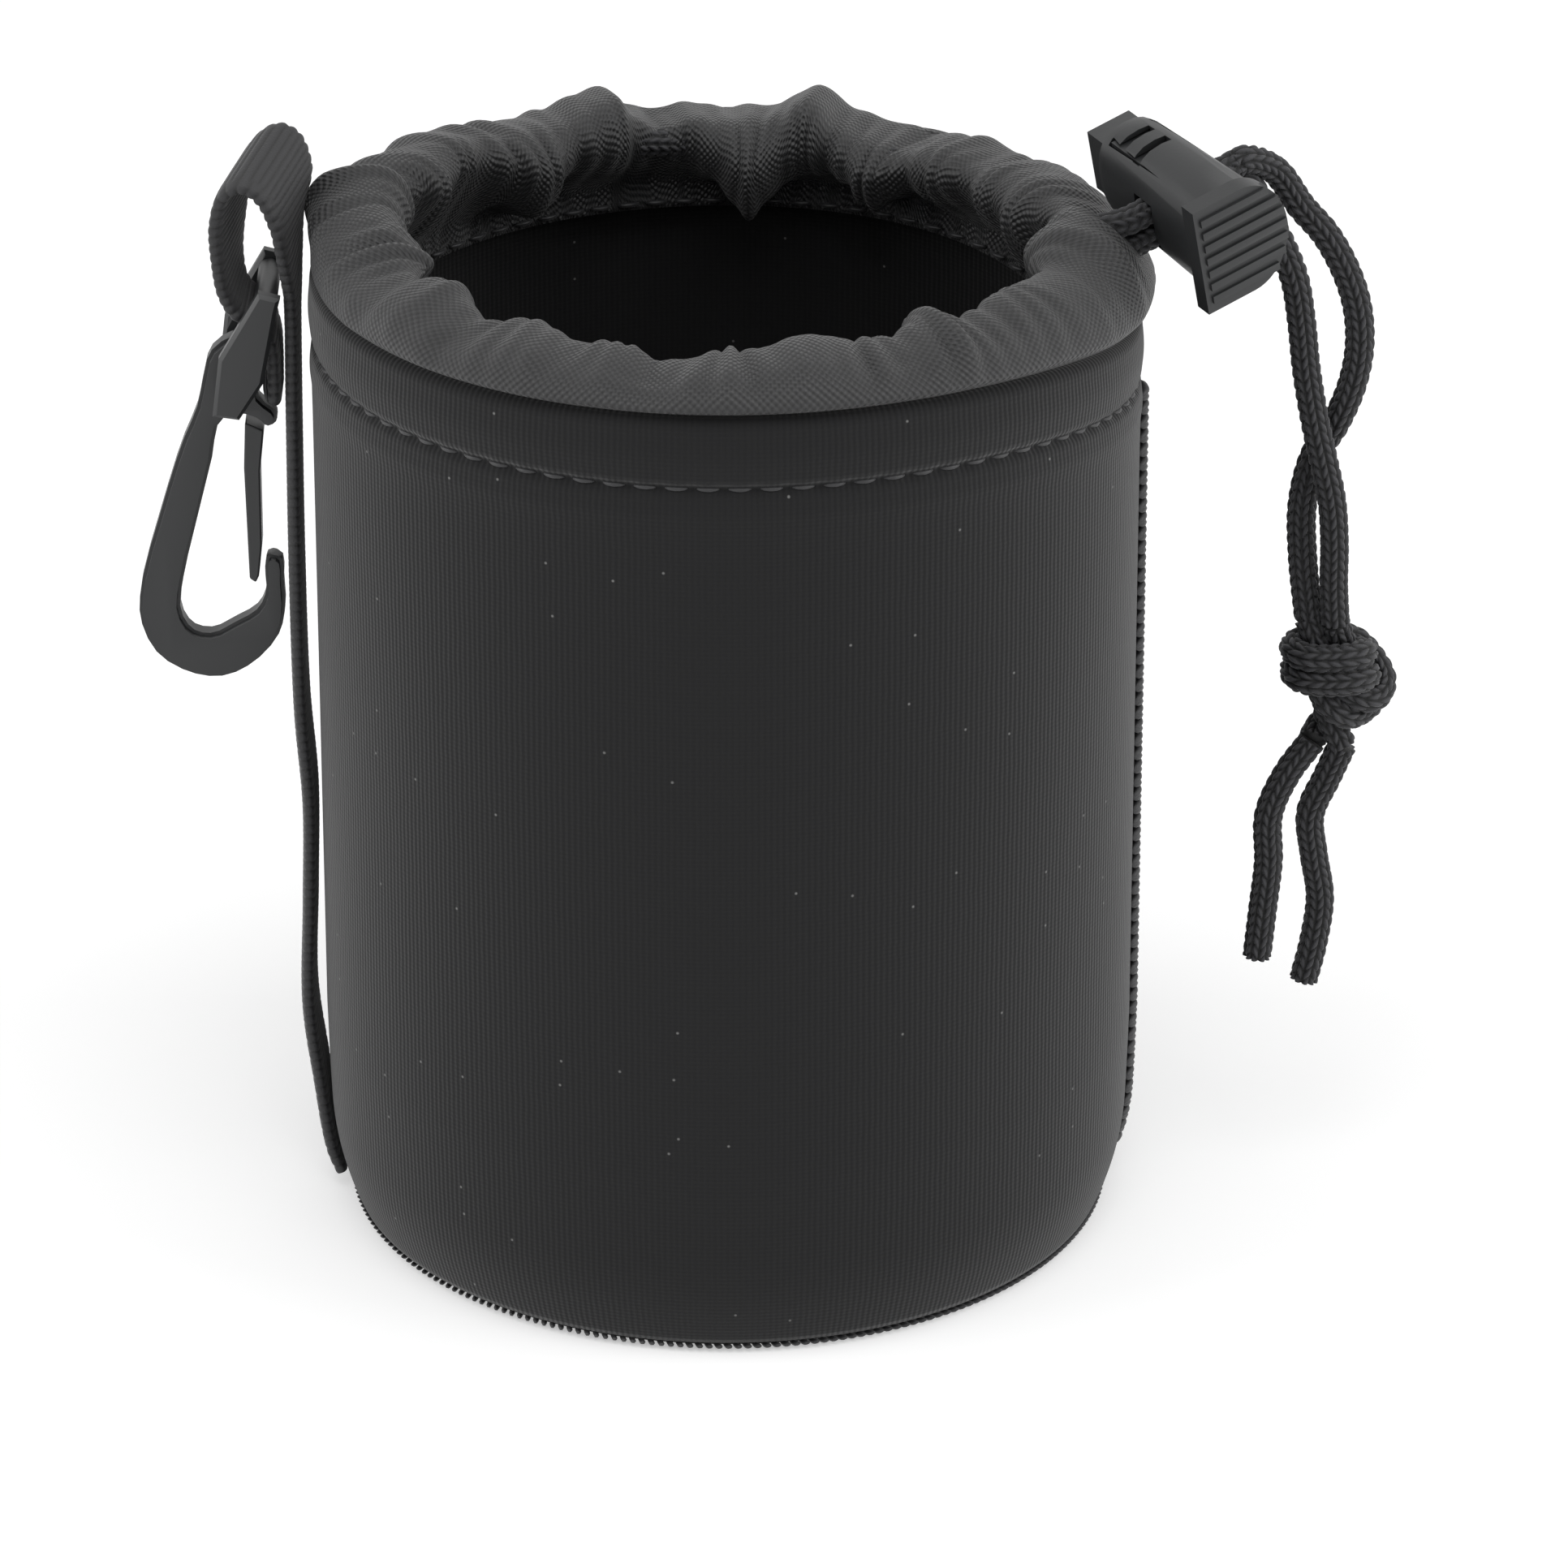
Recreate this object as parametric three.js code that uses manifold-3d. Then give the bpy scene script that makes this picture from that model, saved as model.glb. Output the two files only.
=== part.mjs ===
// Round padded pouch for a camera lens, with a drawstring collar, a cord lock and a belt hook.
// Millimetres, +Z up. The origin is the middle of the base, on the surface that the pouch stands on.
// +X points to the cord lock and -X to the strap with the hook; -Y is the front.

import * as THREE from 'three';
import { mergeVertices } from 'three/addons/utils/BufferGeometryUtils.js';
import Module from 'manifold-3d';

// Body: one neoprene tube with a folded hem
const bodyRadius = 53.5;
const wallThickness = 3;
const edgeHeight = 133.5;
const overallHeight = 140;
const hemDepth = 9.5;
const hemThickness = 5.6;
const hemRound = 1.5;
const hemRampHeight = 1.6;
const wallStart = 1.55;
const seatGap = 0.3;

// The rim sags beside the cord lock and is a little lower at the back
const rimSag = 6;
const rimSagSpreadDegrees = 35.5;
const rimBackDrop = 2.5;

// Hem stitching
const stitchGroove = 0.8;
const stitchGrooveWidth = 2.4;
const threadRadius = 0.35;
const stitchPitch = 4;
const stitchWave = 0.2;

// Base and its seam
const baseThickness = 3;
const baseRound = 0.8;
const baseInset = 1.9;
const seamThreadRadius = 0.55;
const seamRidgeWidth = 3;
const seamRidgeHeight = 1.2;
const seamRidgeStart = 5.5;

// Drawstring collar
const clothThickness = 1;
const channelClearance = 0.35;
const collarBulge = 0.9;
const collarSideBulge = 1.2;
const lockPressDegrees = 9;
const collarSegments = 68;
const collarStitchRadius = 0.3;

// Cord
const cordDiameter = 3.2;
const cordLoopRadius = 46.4;
const cordLoopBackInset = 2.6;
const cordSpacing = 3.8;
const cordSides = 8;
const eyeletRoom = 1.6;

// Webbing strap
const strapWidth = 11;
const strapThickness = 1.8;
const strapEdgeRound = 0.5;
const bartackHeight = 3;
const bartackThickness = 0.5;
const bartackStitch = 1.4;

// Hook
const barHeight = 128.7;
const barOffset = 59;
const barDiameter = 3;
const hookLeanDegrees = 8.5;
const hookLength = 55.5;
const hookFlangeThickness = 2;
const hookRibThickness = 4;
const hookRibInset = 0.45;
const cheekThickness = 2.2;
const cheekSpacing = 12.4;
const cheekBevel = 0.5;
const gateThickness = 1.9;
const gateWidth = 3.6;

// Cord lock
const lockPlace = new THREE.Vector3(57.8, 0.3, 141.1);
const lockLongDirection = new THREE.Vector3(0.537, -0.836, -0.108);
const lockCordDirection = new THREE.Vector3(0.828, 0.498, 0.258);
const lockHeight = 15.6;
const lockThickness = 10.4;
const lockMouth = 10.5;
const lockPadStart = 12;
const lockPadEnd = 14.5;
const lockButtonReach = 5;
const lockButtonWidth = 6.6;
const lockButtonHeight = 9;
const lockTravel = 4;
const lockCordDrop = 1.5;
const lockWall = 1.5;
const lockClearance = 0.3;
const springWire = 0.7;
const springTurns = 4;

// Named colours, roughness and metalness of the real materials
const neoprene = { color: 0x26262a, roughness: 0.92, metalness: 0 };
const oxfordCloth = { color: 0x3c3c3f, roughness: 0.7, metalness: 0 };
const darkThread = { color: 0x19191b, roughness: 0.8, metalness: 0 };
const knittedCord = { color: 0x1d1d1f, roughness: 0.85, metalness: 0 };
const webbing = { color: 0x3a3a3c, roughness: 0.85, metalness: 0 };
const mouldedPlastic = { color: 0x3b3b3d, roughness: 0.5, metalness: 0 };
const springSteel = { color: 0xb9bcc0, roughness: 0.3, metalness: 1 };

const wasm = await Module();
wasm.setup();

const fullTurn = 2 * Math.PI;
const degrees = Math.PI / 180;
const mix = THREE.MathUtils.lerp;

// Geometry helpers

// Shared vertices are welded, and the faces are turned to point out.
function welded(geometry) {
  const bare = geometry.clone();
  bare.deleteAttribute('normal');
  bare.deleteAttribute('uv');
  const merged = mergeVertices(bare);
  const kept = [];
  const index = merged.index.array;
  for (let i = 0; i < index.length; i += 3) {
    const [a, b, c] = [index[i], index[i + 1], index[i + 2]];
    if (a !== b && b !== c && c !== a) kept.push(a, b, c);
  }
  merged.setIndex(signedVolume(merged, kept) < 0 ? kept.reverse() : kept);
  merged.computeVertexNormals();
  return merged;
}

function signedVolume(geometry, index) {
  const position = geometry.getAttribute('position');
  const [a, b, c] = [new THREE.Vector3(), new THREE.Vector3(), new THREE.Vector3()];
  let volume = 0;
  for (let i = 0; i < index.length; i += 3) {
    a.fromBufferAttribute(position, index[i]);
    b.fromBufferAttribute(position, index[i + 1]);
    c.fromBufferAttribute(position, index[i + 2]);
    volume += a.dot(b.cross(c)) / 6;
  }
  return volume;
}

function toManifold(geometry) {
  const mesh = welded(geometry);
  return new wasm.Manifold(new wasm.Mesh({
    numProp: 3,
    vertProperties: new Float32Array(mesh.getAttribute('position').array),
    triVerts: new Uint32Array(mesh.index.array),
  }));
}

function fromManifold(manifold) {
  const mesh = manifold.getMesh();
  const geometry = new THREE.BufferGeometry();
  geometry.setAttribute('position', new THREE.BufferAttribute(new Float32Array(mesh.vertProperties), 3));
  geometry.setIndex(new THREE.BufferAttribute(new Uint32Array(mesh.triVerts), 1));
  geometry.computeVertexNormals();
  return geometry;
}

function joined(...geometries) {
  return fromManifold(geometries.map(toManifold).reduce((whole, piece) => whole.add(piece)));
}

function cut(geometry, ...tools) {
  return fromManifold(tools.map(toManifold).reduce((left, tool) => left.subtract(tool), toManifold(geometry)));
}

// A skin over rings of points: a tube with flat ends, or a closed ring when it comes back to its start.
function loft(rings, closed = false) {
  const count = rings[0].length;
  const corners = rings.flat().flatMap((p) => [p.x, p.y, p.z]);
  const faces = [];
  const spans = closed ? rings.length : rings.length - 1;
  for (let i = 0; i < spans; i += 1) {
    const next = (i + 1) % rings.length;
    for (let j = 0; j < count; j += 1) {
      const k = (j + 1) % count;
      faces.push(i * count + j, next * count + j, next * count + k);
      faces.push(i * count + j, next * count + k, i * count + k);
    }
  }
  if (!closed) {
    const last = (rings.length - 1) * count;
    for (let j = 1; j < count - 1; j += 1) {
      faces.push(0, j, j + 1);
      faces.push(last, last + j + 1, last + j);
    }
  }
  const geometry = new THREE.BufferGeometry();
  geometry.setAttribute('position', new THREE.Float32BufferAttribute(corners, 3));
  geometry.setIndex(faces);
  return geometry;
}

// A closed profile of radius and height, turned about Z.
function turned(profile, segments) {
  const points = [...profile, profile[0]].map(([radius, height]) => new THREE.Vector2(radius, height));
  return new THREE.LatheGeometry(points, segments).rotateX(Math.PI / 2);
}

function moveEach(geometry, place) {
  const position = geometry.getAttribute('position');
  const point = new THREE.Vector3();
  for (let i = 0; i < position.count; i += 1) {
    point.fromBufferAttribute(position, i);
    place(point);
    position.setXYZ(i, point.x, point.y, point.z);
  }
  return geometry;
}

function outline(points) {
  return new THREE.Shape(points.map(([x, y]) => new THREE.Vector2(x, y)));
}

function smoothOutline(points, divisions) {
  const curve = new THREE.CatmullRomCurve3(points.map(([x, y]) => new THREE.Vector3(x, y, 0)), true, 'centripetal');
  return new THREE.Shape(curve.getPoints(divisions).slice(0, -1).map((p) => new THREE.Vector2(p.x, p.y)));
}

// A plate standing in the XZ plane, centred on its thickness along Y.
function standingPlate(shape, thickness, bevel = 0) {
  const options = { depth: thickness - 2 * bevel, bevelEnabled: bevel > 0, bevelSize: bevel, bevelOffset: -bevel,
    bevelThickness: bevel, bevelSegments: 1, curveSegments: 6 };
  const plate = new THREE.ExtrudeGeometry(shape, options);
  plate.translate(0, 0, bevel - thickness / 2);
  return plate.rotateX(Math.PI / 2);
}

function circleOutline(radius, sides) {
  const points = [];
  for (let i = 0; i < sides; i += 1) {
    const angle = (fullTurn * i) / sides;
    points.push([radius * Math.cos(angle), radius * Math.sin(angle)]);
  }
  return outline(points);
}

function tubeAlong(curve, radius, steps, sides) {
  const options = { steps, bevelEnabled: false, extrudePath: curve };
  return new THREE.ExtrudeGeometry(circleOutline(radius, sides), options);
}

function cylinderAlongY(radius, length, sides) {
  return new THREE.CylinderGeometry(radius, radius, length, sides);
}

// How the soft body stands

function backShare(azimuth) {
  return (1 + Math.sin(azimuth)) / 2;
}

function wrapped(angle) {
  return Math.atan2(Math.sin(angle), Math.cos(angle));
}

function rimHeight(azimuth) {
  return edgeHeight - rimSag * nearness(azimuth, 0, rimSagSpreadDegrees) - rimBackDrop * backShare(azimuth);
}

// A level height on the upright tube, taken to the height that it has under the sagging rim.
function sagged(height, azimuth) {
  return height * (rimHeight(azimuth) / edgeHeight);
}

function sagPoint(point) {
  point.z = sagged(point.z, Math.atan2(point.y, point.x));
}

// The foot of the wall turns in to the base seam: shares of the wall thickness, and of the body radius.
const footInsetShares = [1.03, 0.77, 0.37, 0.17, 0.1, 0];
const footRiseShares = [0, 0.038, 0.12, 0.195, 0.27, 0.48];

function footRadius(height) {
  const rise = (height - wallStart) / bodyRadius;
  const last = footRiseShares.length - 1;
  if (rise >= footRiseShares[last]) return bodyRadius;
  let i = 0;
  while (rise > footRiseShares[i + 1]) i += 1;
  const share = (rise - footRiseShares[i]) / (footRiseShares[i + 1] - footRiseShares[i]);
  return bodyRadius - wallThickness * mix(footInsetShares[i], footInsetShares[i + 1], Math.max(share, 0));
}

const stitchHeight = edgeHeight - hemDepth;

function sidePanel() {
  const inner = bodyRadius - wallThickness;
  const hemInner = bodyRadius - hemThickness;
  const footRise = footRiseShares.map((share) => wallStart + share * bodyRadius);
  const outside = footRise.map((height) => [footRadius(height), height]);
  const footWall = outside[0][0] - wallThickness / 2;
  const profile = [
    ...outside,
    [bodyRadius, stitchHeight - stitchGrooveWidth / 2],
    [bodyRadius - stitchGroove, stitchHeight],
    [bodyRadius, stitchHeight + stitchGrooveWidth / 2],
    [bodyRadius, edgeHeight - hemRound],
    [bodyRadius - hemRound, edgeHeight],
    [hemInner + hemRound, edgeHeight],
    [hemInner, edgeHeight - hemRound],
    [hemInner, stitchHeight],
    [inner, stitchHeight - hemRampHeight],
    [inner, footRise[4]],
    [footWall, wallStart],
  ];
  return moveEach(turned(profile, 80), sagPoint);
}

function bottomPanel() {
  const radius = bodyRadius - wallThickness - baseInset;
  const profile = [
    [0, 0],
    [radius - baseRound, 0],
    [radius, baseRound],
    [radius, baseThickness - baseRound],
    [radius - baseRound, baseThickness],
    [0, baseThickness],
  ];
  return turned(profile, 64);
}

function bottomSeam() {
  const radius = bodyRadius - wallThickness - baseInset / 2;
  return new THREE.TorusGeometry(radius, seamThreadRadius, 6, 80).translate(0, 0, wallStart - seatGap - seamThreadRadius);
}

// A ridge of overlocked edges up the side beside the lock, with a small heel at its lower end.
function sideSeam() {
  const top = stitchHeight - stitchGrooveWidth;
  const heel = seamRidgeStart + seamRidgeWidth;
  const heights = [seamRidgeStart, heel, heel + seamThreadRadius];
  const lengths = 22;
  for (let i = 1; i <= lengths; i += 1) heights.push(mix(heel + seamThreadRadius, top, i / lengths));
  const rings = heights.map((height) => {
    const onHeel = height <= heel;
    const halfWidth = (seamRidgeWidth / 2) * (onHeel ? 1.3 : 1);
    const proud = seamRidgeHeight * (onHeel ? 1.2 : 1);
    const foot = footRadius(height) + seatGap;
    const section = [[0, -1], [0.7, -0.8], [1, -0.3], [1, 0.3], [0.7, 0.8], [0, 1]];
    return section.map(([out, along]) => new THREE.Vector3(foot + proud * out, halfWidth * along, sagged(height, 0)));
  });
  return loft(rings);
}

function waveRing(radius, wire, height, pitch, wave) {
  const stitches = Math.round((fullTurn * radius) / pitch);
  const ring = new THREE.TorusGeometry(radius, wire, 4, stitches * 2);
  return moveEach(ring, (point) => {
    const azimuth = Math.atan2(point.y, point.x);
    const reach = Math.hypot(point.x, point.y) + wave * Math.cos(stitches * azimuth);
    point.set(reach * Math.cos(azimuth), reach * Math.sin(azimuth), point.z + height);
    sagPoint(point);
  });
}

function hemStitching() {
  const radius = bodyRadius - stitchGroove + seatGap + threadRadius + stitchWave;
  return waveRing(radius, threadRadius, stitchHeight, stitchPitch, stitchWave);
}

// The drawcord's run in the collar, as a radius and a height at each azimuth

const cordRise = [1.175, -0.94, -2.75, 1.175, -0.875];

function channelRadius(azimuth) {
  return cordLoopRadius - cordLoopBackInset * backShare(azimuth);
}

function channelHeight(azimuth) {
  const [level, cosine, sine, cosineTwice, sineTwice] = cordRise;
  return edgeHeight + level + cosine * Math.cos(azimuth) + sine * Math.sin(azimuth)
    + cosineTwice * Math.cos(2 * azimuth) + sineTwice * Math.sin(2 * azimuth);
}

// Each gather of the collar: its azimuth and spread in degrees, then shares of the collar's rise
// that it goes in over the mouth, up, and down inside.
const gatherShares = [
  [-170, 7, 0.1, 0.3, 0],
  [-161, 6, 0.5, 0.12, 0.1],
  [-143, 5, 0.15, 0.2, 0],
  [-126, 6, 0.42, 0.05, 0.1],
  [-107, 5, 0.14, 0.16, 0],
  [-89, 5, 0.58, 0.06, 0.1],
  [-67, 5, 0.3, 0.12, 0],
  [-55, 3.5, 0.55, 0.2, 0],
  [-38, 5, 0.05, 0.14, 0],
  [-16, 6, 0.2, 0.1, 0],
  [-5, 8, 0.25, 0.6, 0],
  [21, 6, 0.35, 0.02, 0.55],
  [36, 5, 0.3, 0.1, 0.3],
  [49, 5, 0.1, 0.02, 0.05],
  [62, 5, 0.45, 0.02, 0.5],
  [76, 4, 0.1, 0.5, 0],
  [86, 5, 0.6, 0.1, 0.7],
  [97, 4, 0, 0.15, 0],
  [109, 5, 0.15, 0.38, 0.1],
  [129, 8, 0.55, 0, 0.65],
  [146, 5, 0.1, 0.2, 0],
  [157, 5, 0.35, 0.15, 0.3],
  [176, 7, 0.1, 0.35, 0],
];

const collarRise = overallHeight - edgeHeight;

function nearness(azimuth, centreDegrees, spreadDegrees) {
  const away = wrapped(azimuth - centreDegrees * degrees) / (spreadDegrees * degrees);
  return Math.exp(-away * away);
}

function gathersAt(azimuth) {
  const sum = { inward: 0, up: 0, down: 0 };
  for (const [centre, spread, inward, up, down] of gatherShares) {
    const weight = collarRise * nearness(azimuth, centre, spread);
    sum.inward += inward * weight;
    sum.up += up * weight;
    sum.down += down * weight;
  }
  return sum;
}

// The collar's cloth in section, from the hem's outer corner over the cord and down inside the hem
function collarLine(azimuth) {
  const rim = rimHeight(azimuth);
  const half = clothThickness / 2;
  const reach = cordDiameter / 2 + channelClearance + half;
  const [cordR, cordZ] = [channelRadius(azimuth), channelHeight(azimuth)];
  const { inward, up, down } = gathersAt(azimuth);
  const beside = nearness(azimuth, 0, 40);
  const besideStrap = nearness(azimuth, 180, 14);
  const pressed = nearness(azimuth, lockPressDegrees, 11);
  const top = cordZ + reach + up;
  const rise = top - rim;
  const inside = bodyRadius - hemThickness - seatGap - half;
  const under = new THREE.Vector2(cordR - reach * 0.55 - inward * 0.55, cordZ - reach * 0.95 - down);
  return [
    new THREE.Vector2(bodyRadius - half, rim + seatGap + half),
    new THREE.Vector2(bodyRadius - half + collarBulge * (1 - besideStrap) + collarSideBulge * beside, rim + 0.3 * rise),
    new THREE.Vector2(mix(bodyRadius, cordR, 0.12 + 0.16 * pressed), rim + (0.72 - 0.1 * pressed) * rise),
    new THREE.Vector2(mix(bodyRadius, cordR, 0.6 + 0.1 * pressed), rim + (0.97 - 0.09 * pressed) * rise),
    new THREE.Vector2(cordR - reach * 0.35 - inward * 0.35, top),
    new THREE.Vector2(cordR - reach - inward, cordZ + reach * 0.25 + up * 0.3 - down * 0.35),
    under,
    new THREE.Vector2(inside, sagged(stitchHeight + hemDepth / 3, azimuth)),
    new THREE.Vector2(inside, sagged(stitchHeight - clothThickness, azimuth)),
  ];
}

function offsetLine(line, distance) {
  return line.map((point, i) => {
    const before = line[Math.max(i - 1, 0)];
    const after = line[Math.min(i + 1, line.length - 1)];
    const along = after.clone().sub(before).normalize();
    return new THREE.Vector2(point.x + along.y * distance, point.y - along.x * distance);
  });
}

function collar() {
  const rings = [];
  for (let i = 0; i < collarSegments; i += 1) {
    const azimuth = (fullTurn * i) / collarSegments;
    const line = collarLine(azimuth);
    const section = [...offsetLine(line, clothThickness / 2), ...offsetLine(line, -clothThickness / 2).reverse()];
    rings.push(section.map((p) => new THREE.Vector3(p.x * Math.cos(azimuth), p.x * Math.sin(azimuth), p.y)));
  }
  const eyeletDepth = cordDiameter * 2.2;
  const eyelet = new THREE.BoxGeometry(eyeletDepth, slotHeight + eyeletRoom, cordDiameter + eyeletRoom);
  eyelet.translate(-(lockThickness + eyeletDepth) / 2, -lockCordDrop, 0).applyMatrix4(lockMatrix());
  return cut(loft(rings, true), eyelet);
}

function collarStitching() {
  const radius = bodyRadius - hemThickness - clothThickness - 2 * seatGap - collarStitchRadius - stitchWave;
  return waveRing(radius, collarStitchRadius, stitchHeight, stitchPitch, stitchWave / 2);
}

// Cord lock. In its own frame X runs with the cords, Y is up and Z runs from the button to the pad.

function lockMatrix() {
  const long = lockLongDirection.clone().normalize();
  const up = long.clone().cross(lockCordDirection).normalize();
  const along = up.clone().cross(long);
  return new THREE.Matrix4().makeBasis(along, up, long).setPosition(lockPlace);
}

function lockPoint(x, y, z = 0) {
  return new THREE.Vector3(x, y, z).applyMatrix4(lockMatrix());
}

function superEllipse(halfX, halfY, power, count) {
  const points = [];
  for (let i = 0; i < count; i += 1) {
    const angle = (fullTurn * i) / count;
    const [c, s] = [Math.cos(angle), Math.sin(angle)];
    points.push([halfX * Math.sign(c) * Math.abs(c) ** (2 / power), halfY * Math.sign(s) * Math.abs(s) ** (2 / power)]);
  }
  return points;
}

const lockBoreHeight = lockHeight - 2 * lockWall;
const lockBoreWidth = lockThickness - 2 * lockWall;
const slotHeight = cordSpacing + cordDiameter + 2 * lockClearance;
const slotWidth = cordDiameter + 3 * lockClearance;

function boxBetween(width, height, from, to) {
  return new THREE.BoxGeometry(width, height, to - from).translate(0, 0, (from + to) / 2);
}

// Along the shell: shares of the way from mouth to pad, of the thickness and of the height
const shellShares = [[0, 0.94, 0.84], [0.06, 1, 0.88], [0.4, 1, 0.97], [0.75, 1.05, 1], [1, 1.12, 1]];

function lockShell() {
  const length = lockPadStart + lockMouth;
  const barrel = loft(shellShares.map(([along, width, height]) => {
    const section = superEllipse((lockThickness / 2) * width, (lockHeight / 2) * height, 2.6, 24);
    return section.map(([x, y]) => new THREE.Vector3(x, y, -lockMouth + along * length));
  }));
  const padHeight = lockHeight * 0.51;
  const pad = new THREE.Shape();
  pad.moveTo(-lockThickness * 0.6, -padHeight);
  pad.lineTo(lockThickness * 0.1, -padHeight);
  pad.absellipse(lockThickness * 0.1, 0, lockThickness * 0.6, padHeight, -Math.PI / 2, Math.PI / 2);
  pad.lineTo(-lockThickness * 0.6, padHeight);
  const padDepth = lockPadEnd - lockPadStart;
  const flange = new THREE.ExtrudeGeometry(pad, { depth: padDepth, bevelEnabled: false, curveSegments: 12 });
  flange.translate(0, 0, lockPadStart - lockWall / 4);
  const ribs = [];
  const ribCount = 7;
  const ribPitch = (2 * padHeight) / (ribCount + 1);
  for (let i = 0; i < ribCount; i += 1) {
    const y = ribPitch * (i - (ribCount - 1) / 2);
    const reach = Math.sqrt(1 - (y / padHeight) ** 2) * lockThickness * 0.6 + lockThickness * 0.6;
    const rib = new THREE.BoxGeometry(reach, ribPitch * 0.55, lockWall);
    ribs.push(rib.translate(reach / 2 - lockThickness * 0.52, y, lockPadEnd - lockWall / 2));
  }
  const bore = boxBetween(lockBoreWidth, lockBoreHeight, -lockMouth + lockWall, lockPadStart - lockWall);
  const mouth = boxBetween(lockButtonWidth + 2 * lockClearance, lockButtonHeight + 2 * lockClearance,
    -lockMouth - lockWall, 0);
  const passage = new THREE.BoxGeometry(lockThickness * 2, slotHeight, slotWidth).translate(0, -lockCordDrop, 0);
  const gills = [-6.4, -2.6].map((z) => new THREE.BoxGeometry(lockThickness, lockHeight / 4, lockWall)
    .translate(-lockThickness * 0.35, lockHeight * 0.5, z));
  return cut(joined(barrel, flange, ...ribs), bore, mouth, passage, ...gills);
}

function lockPlunger() {
  const bodyWidth = lockBoreWidth - 2 * lockClearance;
  const bodyHeight = lockBoreHeight - 2 * lockClearance;
  const shoulder = -lockMouth + lockWall + lockClearance;
  const bodyEnd = slotWidth / 2 + lockWall;
  const body = boxBetween(bodyWidth, bodyHeight, shoulder, bodyEnd);
  const buttonEnd = -lockMouth - lockButtonReach;
  const bevel = lockWall / 2;
  const [halfWidth, halfHeight] = [lockButtonWidth / 2, lockButtonHeight / 2];
  const button = loft([[buttonEnd, bevel], [buttonEnd + bevel, 0], [shoulder + lockWall, 0]].map(([z, inset]) => [
    new THREE.Vector3(-halfWidth + inset, -halfHeight + inset, z),
    new THREE.Vector3(halfWidth - inset, -halfHeight + inset, z),
    new THREE.Vector3(halfWidth - inset, halfHeight - inset, z),
    new THREE.Vector3(-halfWidth + inset, halfHeight - inset, z),
  ]));
  const slotFrom = -slotWidth / 2 - lockTravel;
  const slot = new THREE.BoxGeometry(lockThickness * 2, slotHeight, slotWidth + lockTravel);
  slot.translate(0, -lockCordDrop, slotFrom + (slotWidth + lockTravel) / 2);
  return cut(joined(body, button), slot);
}

// One unbroken wire. The least gap between its turns is measured on its points and printed.
function lockSpring() {
  const from = slotWidth / 2 + lockWall + lockClearance + springWire / 2;
  const to = lockPadStart - lockWall - lockClearance - springWire / 2;
  const radius = lockBoreWidth / 2 - lockClearance - springWire / 2 - lockClearance;
  const stepsPerTurn = 8;
  const points = [];
  for (let i = 0; i <= springTurns * stepsPerTurn; i += 1) {
    const angle = (fullTurn * i) / stepsPerTurn;
    const z = mix(from, to, i / (springTurns * stepsPerTurn));
    points.push(new THREE.Vector3(radius * Math.cos(angle), radius * Math.sin(angle), z));
  }
  let nearest = Infinity;
  points.forEach((point, i) => {
    for (let j = i + stepsPerTurn / 2; j < points.length; j += 1) {
      nearest = Math.min(nearest, point.distanceTo(points[j]) - springWire);
    }
  });
  console.log('least gap between the spring turns', nearest.toFixed(2));
  const curve = new THREE.CatmullRomCurve3(points);
  return tubeAlong(curve, springWire / 2, springTurns * stepsPerTurn, 5);
}

// Cords

// The stretch in the channel, out of the eyelet and through the lock: both ends stop past the lock.
const cordPastLock = 8.5;
const upperCord = cordSpacing / 2 - lockCordDrop;
const lowerCord = -cordSpacing / 2 - lockCordDrop;

function drawcordLoop() {
  const points = [
    lockPoint(cordPastLock, upperCord),
    lockPoint(4, upperCord),
    lockPoint(-3, upperCord),
    lockPoint(-8, upperCord),
    new THREE.Vector3(48.6, -4.4, 139.0),
    new THREE.Vector3(46.3, -3.4, 137.5),
    new THREE.Vector3(45.6, 0.8, 136.1),
  ];
  const stations = 40;
  for (let i = 0; i <= stations; i += 1) {
    const azimuth = mix(8 * degrees, 346 * degrees, i / stations);
    const radius = channelRadius(azimuth);
    points.push(new THREE.Vector3(radius * Math.cos(azimuth), radius * Math.sin(azimuth), channelHeight(azimuth)));
  }
  points.push(
    new THREE.Vector3(48.9, -6.2, 135.1),
    lockPoint(-8, lowerCord),
    lockPoint(-3, lowerCord),
    lockPoint(4, lowerCord),
    lockPoint(cordPastLock, lowerCord),
  );
  return tubeAlong(new THREE.CatmullRomCurve3(points, false, 'centripetal'), cordDiameter / 2, 90, cordSides);
}

const knotPlace = new THREE.Vector3(79.6, 4, 70.8);
const knotSize = new THREE.Vector3(6.7, 5.6, 8.6);

function freeCord(points, steps) {
  return tubeAlong(new THREE.CatmullRomCurve3(points, false, 'centripetal'), cordDiameter / 2, steps, cordSides);
}

const outerStrandRoute = [
  [70.6, 8.2, 141.6], [74.2, 8.8, 136.3], [77.5, 8.6, 132.4], [80.3, 8.2, 127.2], [81.8, 7.6, 122.3],
  [82.1, 7.0, 117.0], [81.2, 6.5, 112.0], [79.2, 6.3, 106.8], [76.6, 6.2, 102.2], [75.2, 6.0, 95.5],
  [75.4, 5.6, 88.0], [76.4, 5.0, 79.4],
];
const innerStrandRoute = [
  [68.8, 5.8, 137.4], [71.4, 4.8, 132.8], [73.3, 4.4, 128.0], [74.3, 4.2, 122.4], [75.1, 3.6, 115.6],
  [76.4, 2.8, 108.4], [77.6, 2.4, 103.2], [78.8, 2.2, 97.6], [79.3, 2.2, 91.5], [79.4, 2.8, 85.5],
  [79.8, 3.2, 79.7],
];
const leftTailRoute = [
  [77.2, 4.2, 61.9], [74.0, 3.6, 57.4], [71.7, 3.2, 51.6], [71.8, 3.0, 44.8], [71.2, 3.0, 37.6], [70.6, 3.0, 30.6],
];
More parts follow.
